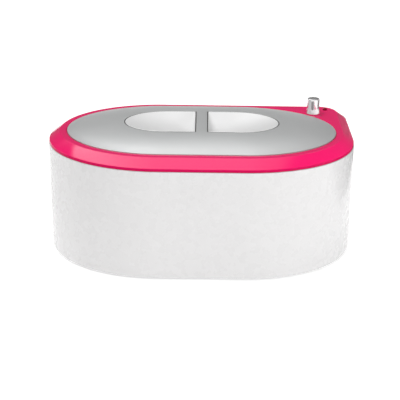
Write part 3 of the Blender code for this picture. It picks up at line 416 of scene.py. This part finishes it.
def outline(inset, corner=False):
    """The plan curve, counter-clockwise from the middle of the right side."""
    points = []
    for number in range(4):
        if corner and number == 0:
            part = corner_quadrant(inset)
        else:
            middle = STRAIGHT_LENGTH / 2 if number in (0, 3) else -STRAIGHT_LENGTH / 2
            axes = (END_AXIS - inset + (0 if corner else OVAL_STRETCH), HALF_DEPTH - inset)
            start = math.pi / 2 * number
            part = arc_points((middle, 0), axes, start, start + math.pi / 2, QUARTER_STEPS)
        points += part[1 if number in (0, 2) else 0:]
    return points


def rounded(stations, closed=True, steps=4):
    """Rounds the corners of a profile; a station is (inset, z, radius, corner flag)."""
    result = []
    count = len(stations)
    for index, (inset, z, radius, flag) in enumerate(stations):
        if not radius or (not closed and index in (0, count - 1)):
            result.append((inset, z, flag))
            continue
        here = Vector((inset, z))
        before = Vector(stations[index - 1][:2]) - here
        after = Vector(stations[(index + 1) % count][:2]) - here
        half = before.angle(after) / 2
        trim = min(radius / math.tan(half), 0.49 * before.length, 0.49 * after.length)
        start = here + before.normalized() * trim
        end = here + after.normalized() * trim
        for step in range(steps + 1):
            share = step / steps
            point = start.lerp(here, share).lerp(here.lerp(end, share), share)
            result.append((point[0], point[1], flag))
    return result


def scene_object(name, data):
    """A new object, linked into the scene."""
    made = bpy.data.objects.new(name, data)
    bpy.context.scene.collection.objects.link(made)
    return made


def add_piece(name, mesh, material, body, *replaced, more=(), slot=None):
    """A finished piece of the object, riding on a body and standing for CAD nodes."""
    piece = scene_object(name, mesh)
    for finish in (material, *more):
        mesh.materials.append(MATERIALS[finish])
    for polygon in mesh.polygons:
        polygon.use_smooth = True
    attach(piece, body)
    if replaced:
        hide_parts(*replaced)
    return piece


def finished_mesh(name, built, sharp=32):
    """Turns a bmesh into a mesh with outward faces and hard edges over an angle in degrees."""
    bmesh.ops.remove_doubles(built, verts=built.verts, dist=0.000002)
    bmesh.ops.recalc_face_normals(built, faces=built.faces)
    limit = math.radians(sharp)
    for edge in built.edges:
        edge.smooth = len(edge.link_faces) == 2 and edge.calc_face_angle(0) < limit
    mesh = bpy.data.meshes.new(name)
    built.to_mesh(mesh)
    built.free()
    return mesh


def bridge(built, rows, closed=False, finish=0):
    """Quads between rings of equal length, with the number of their material slot."""
    pairs = list(zip(rows, rows[1:]))
    if closed:
        pairs.append((rows[-1], rows[0]))
    for first, second in pairs:
        for index in range(len(first)):
            after = (index + 1) % len(first)
            face = built.faces.new((first[index], first[after], second[after], second[index]))
            face.material_index = finish


def vert_ring(built, points):
    """New vertices at the given points, in order."""
    return [built.verts.new(point) for point in points]


def skin_bmesh(stations, closed=True):
    """A shell through plan rings; open ends are closed by one level face each."""
    built = bmesh.new()
    rows = []
    for inset, z, flag in stations:
        rows.append(vert_ring(built, [(x, y, z) for x, y in outline(inset, flag)]))
    bridge(built, rows, closed)
    if not closed:
        built.faces.new(rows[0])
        built.faces.new(rows[-1])
    return built


def turned_bmesh(profile, steps, centre=(0, 0)):
    """A solid turned about a vertical axis, from (radius, z) pairs that start and end on the axis."""
    built = bmesh.new()
    rows = []
    for radius, z in profile[1:-1]:
        points = []
        for step in range(steps):
            angle = 2 * math.pi * step / steps
            x = centre[0] + radius * math.cos(angle)
            points.append((x, centre[1] + radius * math.sin(angle), z))
        rows.append(vert_ring(built, points))
    bridge(built, rows)
    for row, (_, z) in ((rows[0], profile[0]), (rows[-1], profile[-1])):
        middle = built.verts.new((centre[0], centre[1], z))
        for index in range(steps):
            built.faces.new((row[index], row[(index + 1) % steps], middle))
    return built


def profile_rounded(points, steps=4):
    """Rounds (radius, z, fillet) corners of a turned profile."""
    flat = rounded([(r, z, fillet, False) for r, z, fillet in points], closed=False, steps=steps)
    return [(r, z) for r, z, _ in flat]


def rounded_box(built, size, centre, bevel, segments=3, turn=0.0):
    """Adds a box with rounded edges, turned about its own vertical axis."""
    place = Matrix.Translation(centre) @ Matrix.Rotation(turn, 4, "Z") @ Matrix.Diagonal((*size, 1))
    made = bmesh.ops.create_cube(built, size=1.0, matrix=place)
    edges = {edge for vert in made["verts"] for edge in vert.link_edges}
    bmesh.ops.bevel(
        built, geom=list(edges), offset=bevel, segments=segments, profile=0.5, affect="EDGES")


def carve(piece_mesh, cutters):
    """A mesh with closed bmesh cutters taken out of it."""
    target = scene_object("carve_target", piece_mesh)
    helpers = [target]
    for cutter in cutters:
        helper = scene_object("carve_cutter", finished_mesh("carve_cutter", cutter))
        helpers.append(helper)
        change = target.modifiers.new("cut", "BOOLEAN")
        change.operation = "DIFFERENCE"
        change.solver = "EXACT"
        change.object = helper
    bpy.context.view_layer.update()
    evaluated = target.evaluated_get(bpy.context.evaluated_depsgraph_get())
    result = bpy.data.meshes.new_from_object(evaluated)
    for helper in helpers:
        bpy.data.objects.remove(helper)
    built = bmesh.new()
    built.from_mesh(result)
    return built


# ---------------------------------------------------------------- shells

def build_housing():
    """The white outer shell: drafted walls with rounded edges, open at the top and the bottom."""
    stations = rounded([
        (DRAFT, HOUSING_BOTTOM, EDGE_ROUND, True),
        (0, HOUSING_TOP, 0.0008, True),
        (WALL, HOUSING_TOP, 0.0003, True),
        (DRAFT + WALL, HOUSING_BOTTOM + 2 * EDGE_ROUND, 0, True),
        (DRAFT + EDGE_ROUND + RIM_THICKNESS, HOUSING_BOTTOM + EDGE_ROUND, 0, True),
        (DRAFT + EDGE_ROUND + RIM_THICKNESS, HOUSING_BOTTOM, 0.0002, True),
    ], steps=8)
    mesh = finished_mesh("housing_shell", skin_bmesh(stations))
    pocket = bmesh.new()
    width = INLET_HIGH[0] - INLET_LOW[0] + 2 * GAP
    height = INLET_HIGH[2] - INLET_LOW[2] + 2 * GAP
    centre = ((INLET_LOW[0] + INLET_HIGH[0]) / 2, HALF_DEPTH, (INLET_LOW[2] + INLET_HIGH[2]) / 2)
    rounded_box(pocket, (width, POCKET_CUT, height), centre, 0.0012)
    mesh = finished_mesh("housing_shell", carve(mesh, [pocket]))
    add_piece("housing_shell", mesh, "housing_white", "pot", "outer_housing")
    build_pocket(centre, width, height)


def build_pocket(centre, width, height):
    """The recess in the rear wall that the inlet's plate sits in."""
    built = bmesh.new()
    floor = INLET_HIGH[1] - INLET_PLATE - GAP
    mouth = HALF_DEPTH - WALL / 2
    depth = mouth - floor + POCKET_FLOOR
    size = (width + 2 * POCKET_WALL, depth, height + 2 * POCKET_WALL)
    rounded_box(built, size, (centre[0], floor - POCKET_FLOOR + depth / 2, centre[2]), 0.0008)
    shell = finished_mesh("inlet_pocket", built)
    cutter = bmesh.new()
    size = (width, POCKET_CUT, height)
    rounded_box(cutter, size, (centre[0], floor + POCKET_CUT / 2, centre[2]), 0.0012)
    window = bmesh.new()
    rounded_box(window, POCKET_WINDOW, (centre[0], floor, centre[2]), 0.0010)
    mesh = finished_mesh("inlet_pocket", carve(shell, [cutter, window]))
    add_piece("inlet_pocket", mesh, "housing_white", "pot")


def build_bezel():
    """The pink deck: a thin lower lip, a slope to the level top, and the oval ledge under the lid."""
    bottom = HOUSING_TOP + GAP
    underside = DECK_TOP - DECK_WALL
    hole = LID_INSET - LID_GAP
    stations = rounded([
        (LIP_INSET, bottom, 0.0003, True),
        (LIP_INSET, bottom + LIP_RISE, 0.0008, True),
        (SLOPE_INSET, DECK_TOP, 0.0014, True),
        (SLOPE_INSET + 0.0060, DECK_TOP, 0, True),
        (hole, DECK_TOP, 0.0005, False),
        (hole, LEDGE_TOP, 0.0003, False),
        (OPENING_INSET, LEDGE_TOP, 0.0005, False),
        (OPENING_INSET, LEDGE_BOTTOM, 0.0003, False),
        (RING_INSET, LEDGE_BOTTOM, 0.0003, False),
        (RING_INSET, underside, 0, False),
        (SLOPE_INSET + 0.0015, underside, 0, True),
        (RIB_INNER, bottom + LIP_RISE + 0.0006, 0, True),
        (RIB_INNER, RIB_BOTTOM, 0, True),
        (RIB_OUTER, RIB_BOTTOM, 0, True),
        (RIB_OUTER, bottom, 0, True),
    ])
    mesh = finished_mesh("bezel_frame", skin_bmesh(stations), 28)
    holes = []
    lens_hole = (LENS_HIGH[0] - LENS_LOW[0]) / 2 + GAP
    above, below = DECK_TOP + 0.01, DECK_TOP - 0.01
    for low, high, radius in ((KNOB_LOW, KNOB_HIGH, SHAFT_HOLE_RADIUS), (LENS_LOW, LENS_HIGH, lens_hole)):
        profile = [(0, above), (radius, above), (radius, below), (0, below)]
        holes.append(turned_bmesh(profile, 48, middle_of(low, high)[:2]))
    mesh = finished_mesh("bezel_frame", carve(mesh, holes), 28)
    add_piece("bezel_frame", mesh, "bezel_pink", "pot", "top_bezel")


def middle_of(low, high):
    """The middle of a box."""
    return tuple((a + b) / 2 for a, b in zip(low, high))


def tank_stations():
    """The bowl's section: floor, drafted side and flange, then back along the underside."""
    floor = TANK_LOW[2] + 0.0120
    top = TANK_HIGH[2]
    wall = 0.0015
    mouth = 0.0322
    low = mouth + 0.0032
    centre = low + 0.030
    flange = 0.0170
    flange_bottom = top - 0.0012
    return rounded([
        (centre, floor, 0, False),
        (low, floor, 0.0090, False),
        (mouth, top, 0.0012, False),
        (flange, top, 0.0003, False),
        (flange, flange_bottom, 0, False),
        (mouth - wall, flange_bottom, 0.0010, False),
        (low - wall, floor - wall, 0.0100, False),
        (centre, floor - wall, 0, False),
    ], closed=False, steps=8)


def build_tank():
    """The aluminium bowl, with its flange under the deck."""
    mesh = finished_mesh("tank_bowl", skin_bmesh(tank_stations(), closed=False))
    add_piece("tank_bowl", mesh, "tank_aluminium", "pot", "inner_tank")


# ---------------------------------------------------------------- lid

def dome_share(x, y):
    """How far out a place lies on the lid, from 0 in the middle to 1 at the rim."""
    half_width = HALF_WIDTH + OVAL_STRETCH - LID_INSET
    half_depth = HALF_DEPTH - LID_INSET
    flat = STRAIGHT_LENGTH / 2 / half_width
    share = abs(y) / half_depth
    for _ in range(8):
        reach = max(abs(x) / half_width - flat * share, 0) / (1 - flat)
        share = math.hypot(reach, y / half_depth)
    return share


def dome_height(x, y):
    """Height of the lid's outer surface, nearly flat in the middle and steep at the rim."""
    return LID_RIM_Z + LID_RISE * (1 - dome_share(x, y) ** DOME_POWER)


def scoop_outline(side, grow):
    """The D outline of one finger scoop, with small rounded corners beside the bridge."""
    near = BRIDGE_WIDTH / 2 - grow
    half = SCOOP_HALF_DEPTH + grow
    reach = SCOOP_REACH - SCOOP_STRAIGHT + grow
    turn = SCOOP_CORNER + grow
    right = math.pi / 2
    points = [(near, -half + turn + (2 * half - 2 * turn) * (1 - step / 20)) for step in range(20)]
    points += arc_points((near + turn, -half + turn), (turn, turn), -2 * right, -right, 5)
    straight = SCOOP_STRAIGHT - near - turn
    points += [(near + turn + straight * step / 12, -half) for step in range(1, 12)]
    points += arc_points((SCOOP_STRAIGHT, 0), (reach, half), -right, right, 72)
    points += [(SCOOP_STRAIGHT - straight * step / 12, half) for step in range(1, 12)]
    points += arc_points((near + turn, half - turn), (turn, turn), right, 2 * right, 5)[:-1]
    return [(side * x, y) for x, y in points]


def scoop_rows(side, grow, lips, thickness):
    """Rings of one scoop from its lip to the bottom of its bowl; lips holds (widening, drop) pairs."""
    rows = []
    for widen, drop in lips:
        points = scoop_outline(side, grow + widen)
        rows.append([(x, y, dome_height(x, y) - thickness - drop) for x, y in points])
    edge = rows[-1]
    pivot = side * (BRIDGE_WIDTH / 2 - grow - lips[-1][0])
    bottom = LID_RIM_Z + LID_RISE - SCOOP_FALL - (SCOOP_WALL if thickness else 0)
    steps = 26
    for step in range(1, steps):
        share = math.cos(math.pi / 2 * step / steps)
        row = []
        for x, y, z in edge:
            row.append((pivot + (x - pivot) * share, y * share, bottom + (z - bottom) * share ** 2))
        rows.append(row)
    return rows, (pivot, 0, bottom)


def inside(point, loop):
    """True if a plan point lies inside a closed loop."""
    x, y = point
    found = False
    for (ax, ay), (bx, by) in zip(loop, loop[1:] + loop[:1]):
        if (ay > y) != (by > y) and x < (bx - ax) * (y - ay) / (by - ay) + ax:
            found = not found
    return found


def dome_patch(built, rim, scoops, drop):
    """Triangles of the dome between its rim ring and the two scoop rings, over points on a grid."""
    loops = [[vert.co.xy.to_tuple() for vert in row] for row in (rim, *scoops)]
    guards = [scoop_outline(side, SCOOP_MARGIN) for side in (-1, 1)]
    points = [point for loop in loops for point in loop]
    fence = outline(HALF_DEPTH - max(vert.co.y for vert in rim) + RIM_MARGIN)
    columns = int(HALF_WIDTH / GRID_PITCH) + 1
    for row in range(-columns, columns + 1):
        for column in range(-columns, columns + 1):
            spot = ((column + 0.5 * (row % 2)) * GRID_PITCH, row * GRID_PITCH * GRID_ROW_SHARE)
            if inside(spot, fence) and not any(inside(spot, guard) for guard in guards):
                points.append(spot)
    found = delaunay_2d_cdt([Vector(point) for point in points], [], [], 0, 1e-7)
    corners, faces = found[0], found[2]
    known = [*rim, *scoops[0], *scoops[1]]
    verts = list(known)
    for point in corners[len(known):]:
        verts.append(built.verts.new((point.x, point.y, dome_height(point.x, point.y) - drop)))
    for face in faces:
        centre = sum((corners[index] for index in face), Vector((0, 0))) / len(face)
        if inside(centre, loops[0]) and not inside(centre, loops[1]) and not inside(centre, loops[2]):
            built.faces.new([verts[index] for index in face])


def lid_sheet(built, rim, grow, lips, drop, outside):
    """One face of the lid inside a rim ring: dome and both bowls, with painted shade in dark grey along
    the groove round each scoop on the outer face.
    """
    mouths = []
    for side in (-1, 1):
        rows, bottom = scoop_rows(side, grow, lips, drop)
        rings = [vert_ring(built, row) for row in rows]
        first, last = SHADED_GROOVE_ROWS if outside else (0, 0)
        bridge(built, rings[:first + 1])
        # The groove's rows take the dark grey material: painted shade in the groove
        bridge(built, rings[first:last + 1], finish=2)
        bridge(built, rings[last:], finish=int(outside))
        middle = built.verts.new(bottom)
        rim_end = rings[-1]
        for index in range(len(rim_end)):
            face = built.faces.new((rim_end[index], rim_end[(index + 1) % len(rim_end)], middle))
            face.material_index = int(outside)
        mouths.append(rings[0])
    dome_patch(built, rim, mouths, drop)


def build_lid():
    """The silver lid, one closed skin: dome with two finger scoops, rim, and a rib that centres it."""
    built = bmesh.new()
    rib_outer = OPENING_INSET + 0.0008
    rib_inner = rib_outer + 0.0016
    rib_bottom = LEDGE_TOP - 0.0035
    bottom = LEDGE_TOP + GAP
    top_ring = [(x, y, dome_height(x, y)) for x, y in outline(LID_INSET + LID_EDGE)]
    band = rounded([
        (LID_INSET + LID_EDGE, LID_RIM_Z + 0.0004, 0, False),
        (LID_INSET, LID_RIM_Z + 0.0002, 0.0006, False),
        (LID_INSET, bottom, 0.0003, False),
        (rib_outer, bottom, 0.0003, False),
        (rib_outer, rib_bottom, 0.0004, False),
        (rib_inner, rib_bottom, 0.0004, False),
        (rib_inner, bottom + 0.0006, 0.0005, False),
        (rib_inner + LID_RIB_FOOT, bottom + 0.0016, 0, False),
    ], closed=False, steps=4)
    rows = [vert_ring(built, top_ring)]
    rows += [vert_ring(built, [(x, y, z) for x, y in outline(inset)]) for inset, z, _ in band[1:-1]]
    low_ring = [(x, y, dome_height(x, y) - LID_WALL) for x, y in outline(rib_inner + LID_RIB_FOOT)]
    rows.append(vert_ring(built, low_ring))
    bridge(built, rows)
    lip_drop = 0.0003
    lips = [(0.0010, 0), (0.0004, 0.00002), (0.0001, 0.0001), (0, lip_drop)]
    for step in range(1, 5):
        lips.append((-GROOVE_WIDTH * step / 4, lip_drop + GROOVE_DEPTH * math.sin(math.pi * step / 4)))
    lips += [(-GROOVE_WIDTH - 0.0002, 0.0001), (-GROOVE_WIDTH - 0.0008, 0)]
    lid_sheet(built, rows[0], 0, lips, 0, True)
    lid_sheet(built, rows[-1], SCOOP_WALL, [(0.0006, 0), (0, lip_drop)], LID_WALL, False)
    mesh = finished_mesh("lid_cover", built, 40)
    add_piece("lid_cover", mesh, "lid_silver", "lid", "lid_shell", more=["scoop_silver", "groove_shade_grey"])


# ---------------------------------------------------------------- knob, lamp and dial

def build_knob():
    """The chrome knob: a flared, hollow turned body with a groove that holds the pointer."""
    x, y, _ = middle_of(KNOB_LOW, KNOB_HIGH)
    bottom, top = KNOB_LOW[2], KNOB_HIGH[2]
    skirt = (KNOB_HIGH[0] - KNOB_LOW[0]) / 2
    profile = profile_rounded([
        (0, top, 0),
        (KNOB_RADIUS, top - 0.0001, 0.0011),
        (KNOB_RADIUS, bottom + KNOB_FLARE, 0.0030),
        (skirt, bottom + 0.0006, 0.0006),
        (skirt - 0.0002, bottom, 0.0002),
        (KNOB_BORE, bottom, 0.0002),
        (KNOB_BORE, bottom + KNOB_BORE_DEPTH, 0.0004),
        (0, bottom + KNOB_BORE_DEPTH, 0),
    ], 6)
    mesh = finished_mesh("knob_body", turned_bmesh(profile, 96, (x, y)))
    groove = bmesh.new()
    low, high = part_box("knob_pointer")
    middle = middle_of(low, high)
    turn = math.atan2(middle[0] - x, y - middle[1])
    size = (0.0028, 0.0030, high[2] - low[2] + 0.0006)
    out = Vector((math.sin(turn), -math.cos(turn), 0)) * 0.0010
    rounded_box(groove, size, Vector(middle) + out, 0.0010, 4, turn)
    mesh = finished_mesh("knob_body", carve(mesh, [groove]))
    add_piece("knob_body", mesh, "knob_chrome", "knob", "knob_cap")


def build_lens():
    """The pilot lamp's domed lens."""
    x, y, _ = middle_of(LENS_LOW, LENS_HIGH)
    radius = (LENS_HIGH[0] - LENS_LOW[0]) / 2
    rise = LENS_HIGH[2] - DECK_TOP
    angles = [step * math.pi / 20 for step in range(10)]
    dome = [(radius * math.sin(angle), DECK_TOP + rise * math.cos(angle)) for angle in angles]
    profile = dome + [(radius, DECK_TOP), (radius, LENS_LOW[2]), (0, LENS_LOW[2])]
    mesh = finished_mesh("pilot_lens", turned_bmesh(profile, 40, (x, y)), 60)
    add_piece("pilot_lens", mesh, "lens_red", "pot", "lamp_lens")


def build_dial():
    """Printed marks round the knob: ticks at equal angles, longer at both ends and in the middle."""
    x, y, _ = middle_of(KNOB_LOW, KNOB_HIGH)
    built = bmesh.new()
    for step in range(DIAL_TICKS):
        turn = math.radians(DIAL_START + DIAL_PITCH * step)
        length = 0.0028 if step % 3 == 0 else 0.0020
        reach = DIAL_RADIUS + length / 2
        centre = (x + reach * math.sin(turn), y + reach * math.cos(turn), DECK_TOP + 0.00004)
        rounded_box(built, (0.0009, length, 0.00010), centre, 0.00002, 1, -turn)
    mesh = finished_mesh("dial_marks", built)
    add_piece("dial_marks", mesh, "dial_print", "pot", slot="bezel_pink")


# ---------------------------------------------------------------- inlet, feet and screws

def build_inlet():
    """The power inlet: a plate in the rear pocket and a body behind it, with the plug's socket cut in."""
    width, depth, height = (high - low for low, high in zip(INLET_LOW, INLET_HIGH))
    x, _, z = middle_of(INLET_LOW, INLET_HIGH)
    outer = INLET_HIGH[1]
    built = bmesh.new()
    rounded_box(built, (width, INLET_PLATE, height), (x, outer - INLET_PLATE / 2, z), 0.0006)
    plate = finished_mesh("inlet_plate", built)
    body = bmesh.new()
    body_depth = depth - INLET_BODY_SHORT
    size = (INLET_BODY[0], body_depth, INLET_BODY[1])
    rounded_box(body, size, (x, INLET_LOW[1] + body_depth / 2, z), 0.0006)
    body.from_mesh(plate)
    socket = bmesh.new()
    size = (SOCKET_SIZE[0], SOCKET_DEPTH + SOCKET_OVERRUN, SOCKET_SIZE[1])
    rounded_box(socket, size, (x, outer + SOCKET_OVERRUN / 2 - SOCKET_DEPTH / 2, z), 0.0024, 2)
    mesh = finished_mesh("inlet_socket", carve(finished_mesh("inlet_socket", body), [socket]))
    add_piece("inlet_socket", mesh, "black_plastic", "pot", "power_inlet")


def pan_head(low, high, facing):
    """A pan head screw with a cross recess; its head faces down under the base or back on the inlet."""
    x, y, z = middle_of(low, high)
    radius = (high[0] - low[0]) / 2
    length = high[2] - low[2] if facing == "down" else high[1] - low[1]
    head = 0.0018
    shank = 0.0015
    tip = 0.0009
    profile = profile_rounded([
        (0, 0, 0),
        (radius, -0.0004, 0.0007),
        (radius, -head, 0.0002),
        (shank, -head, 0.0002),
        (shank, -length + 0.0008, 0.0003),
        (tip, -length, 0.0001),
        (0, -length, 0),
    ], 4)
    mesh = finished_mesh("screw", turned_bmesh(profile, 32))
    recess = [bmesh.new(), bmesh.new()]
    for number, cutter in enumerate(recess):
        rounded_box(cutter, SCREW_SLOT, (0, 0, 0), 0.0002, 1, number * math.pi / 2)
    built = carve(mesh, recess)
    if facing == "down":
        place = Matrix.Translation((x, y, low[2])) @ Matrix.Rotation(math.pi, 4, "X")
    else:
        place = Matrix.Translation((x, high[1], z)) @ Matrix.Rotation(-math.pi / 2, 4, "X")
    bmesh.ops.transform(built, matrix=place, verts=built.verts)
    return finished_mesh("screw", built)


def build_screws():
    """Four screws in the base and two that hold the inlet."""
    for kind, count, facing in (("base", 4, "down"), ("inlet", 2, "back")):
        for number in range(1, count + 1):
            node = f"{kind}_screw_{number}"
            mesh = pan_head(*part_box(node), facing)
            add_piece(f"{kind}_cross_screw_{number}", mesh, "zinc_steel", "pot", node)


def build_feet():
    """Rubber feet, each with a peg in the base and a shallow dish underneath."""
    peg = 0.0030
    dish = 0.0006
    for place in ("front_left", "front_right", "rear_left", "rear_right"):
        low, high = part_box(f"foot_{place}")
        x, y, _ = middle_of(low, high)
        radius = (high[0] - low[0]) / 2
        top = HOUSING_BOTTOM
        profile = profile_rounded([
            (0, high[2], 0),
            (peg, high[2], 0.0006),
            (peg, top, 0),
            (radius, top, 0.0004),
            (radius, 0, 0.0009),
            (0.55 * radius, 0, 0.0002),
            (0.50 * radius, dish, 0.0002),
            (0, dish, 0),
        ], 4)
        mesh = finished_mesh(f"rubber_{place}", turned_bmesh(profile, 48, (x, y)))
        add_piece(f"rubber_{place}", mesh, "foot_rubber", "pot", f"foot_{place}")


# ---------------------------------------------------------------- studio

def studio_object(name, built):
    """An object of the studio, from a bmesh."""
    mesh = bpy.data.meshes.new(name)
    built.to_mesh(mesh)
    built.free()
    return scene_object(name, mesh)


def glow(shader, strength):
    """White light given off by a surface."""
    shader.inputs["Emission Color"].default_value = (1, 1, 1, 1)
    shader.inputs["Emission Strength"].default_value = strength


def build_studio():
    """A round white floor that glows a little, the studio walls, a fill light and a dark card."""
    built = bmesh.new()
    bmesh.ops.create_circle(built, cap_ends=True, segments=96, radius=FLOOR_RADIUS)
    plane = studio_object("floor", built)
    material, tree, shader, place = node_material("floor_white")
    white, shade = (0.90, 0.90, 0.90), (0.89, 0.89, 0.89)
    tint(tree, noise(tree, place, 0.4), white, shade, shader.inputs["Base Color"])
    shader.inputs["Roughness"].default_value = 0.9
    shader.inputs["Specular IOR Level"].default_value = 0.0
    glow(shader, FLOOR_GLOW)
    plane.data.materials.append(material)
    build_world()
    area_light("fill_front_right", FILL_PLACE, FILL_SIZE, FILL_POWER, FILL_TARGET)
    build_card()


def build_card():
    """A dark card on the table behind and to the right, seen only in reflections."""
    built = bmesh.new()
    built.faces.new(vert_ring(built, [(x, y, CARD_HEIGHT) for x, y in CARD_OUTLINE]))
    card = studio_object("dark_card", built)
    material, _, shader, _ = node_material("card_dark")
    shader.inputs["Base Color"].default_value = (0.02, 0.02, 0.02, 1)
    glow(shader, CARD_LIGHT)
    card.data.materials.append(material)
    card.visible_camera = False
    card.visible_diffuse = False
    card.visible_shadow = False
    card.visible_transmission = False


def build_world():
    """A studio all round: light front and sides, a dark low backdrop, and a softbox overhead."""
    world = bpy.data.worlds.new("studio")
    bpy.context.scene.world = world
    world.use_nodes = True
    tree = world.node_tree
    direction = tree.nodes.new("ShaderNodeTexCoord")
    parts = tree.nodes.new("ShaderNodeSeparateXYZ")
    tree.links.new(direction.outputs["Generated"], parts.inputs["Vector"])
    x, y, z = parts.outputs["X"], parts.outputs["Y"], parts.outputs["Z"]

    def rise(value, first, last, top=1):
        """A step from 0 up to top."""
        return ramp(tree, value, (first, last), (0, top))

    def fall(value, first, last):
        """A step from 1 down to 0."""
        return ramp(tree, value, (first, last), (1, 0))

    def product(first, second):
        return math_node(tree, "MULTIPLY", first, second)

    # Dark backdrop, low behind the object, with a gap at its foot in the middle
    sideways = math_node(tree, "ABSOLUTE", x)
    foot = math_node(tree, "ADD", rise(z, 0.08, 0.16, 0.10), rise(sideways, 0.17, 0.25, 0.10))
    low = product(rise(foot, 0.02, 0.10), fall(z, 0.34, 0.62))
    flag = product(rise(y, 0.25, 0.60), low)
    # Dark panels on both sides, clear of the floor
    right = product(rise(x, 0.25, 0.50), rise(z, 0.12, 0.30))
    left = product(rise(x, -0.42, -0.67), rise(z, 0.12, 0.30))
    shade = math_node(tree, "MAXIMUM", math_node(tree, "MAXIMUM", flag, right), left)
    # Walls, brighter at the horizon and a little darker in front
    wall = ramp(tree, z, (0.08, 0.25), (HORIZON_LIGHT, ROOM_LIGHT))
    wall = product(wall, ramp(tree, y, (-0.95, -0.60), (FRONT_SHARE, 1)))
    room = product(wall, ramp(tree, shade, (0, 1), (1, FLAG_SHARE)))
    # Softbox: a rectangle on a level plane above, fading out towards the right
    across = math_node(tree, "DIVIDE", x, z)
    along = math_node(tree, "DIVIDE", y, z)
    span = product(rise(across, -0.99, -0.95), fall(across, -0.95, 0.50))
    depth = product(rise(along, -0.60, -0.40), fall(along, 0.70, 1.00))
    above = math_node(tree, "GREATER_THAN", z, number=0.2)
    softbox = product(product(span, depth), above)
    total = math_node(tree, "MULTIPLY_ADD", softbox, number=SOFTBOX_LIGHT)
    tree.links.new(room, total.node.inputs[2])
    background = tree.nodes["Background"]
    background.inputs["Color"].default_value = (1, 1, 1, 1)
    tree.links.new(total, background.inputs["Strength"])


def area_light(name, place, size, power, target):
    """A rectangular light that no glossy surface reflects."""
    light = bpy.data.lights.new(name, "AREA")
    light.shape = "RECTANGLE"
    light.size, light.size_y = size
    light.energy = power
    lamp = scene_object(name, light)
    lamp.location = place
    lamp.visible_glossy = False
    lamp.rotation_euler = (Vector(target) - Vector(place)).to_track_quat("-Z", "Y").to_euler()


def build_camera():
    """The camera in front of the object and above it, with a little roll."""
    data = bpy.data.cameras.new("camera")
    camera = scene_object("camera", data)
    back = Vector((0, -math.cos(CAMERA_ELEVATION), math.sin(CAMERA_ELEVATION)))
    camera.location = CAMERA_TARGET + CAMERA_DISTANCE * back
    aim = (-back).to_track_quat("-Z", "Y").to_matrix().to_4x4()
    camera.rotation_euler = (aim @ Matrix.Rotation(CAMERA_ROLL, 4, "Z")).to_euler()
    data.sensor_width = 36
    data.lens = CAMERA_LENS
    data.shift_x, data.shift_y = CAMERA_SHIFT
    data.clip_end = 20
    bpy.context.scene.camera = camera
    bpy.context.scene.view_settings.view_transform = "Standard"


dress_frame()
build_housing()
build_bezel()
build_tank()
build_lid()
build_knob()
build_lens()
build_dial()
build_inlet()
build_screws()
build_feet()
build_studio()
build_camera()
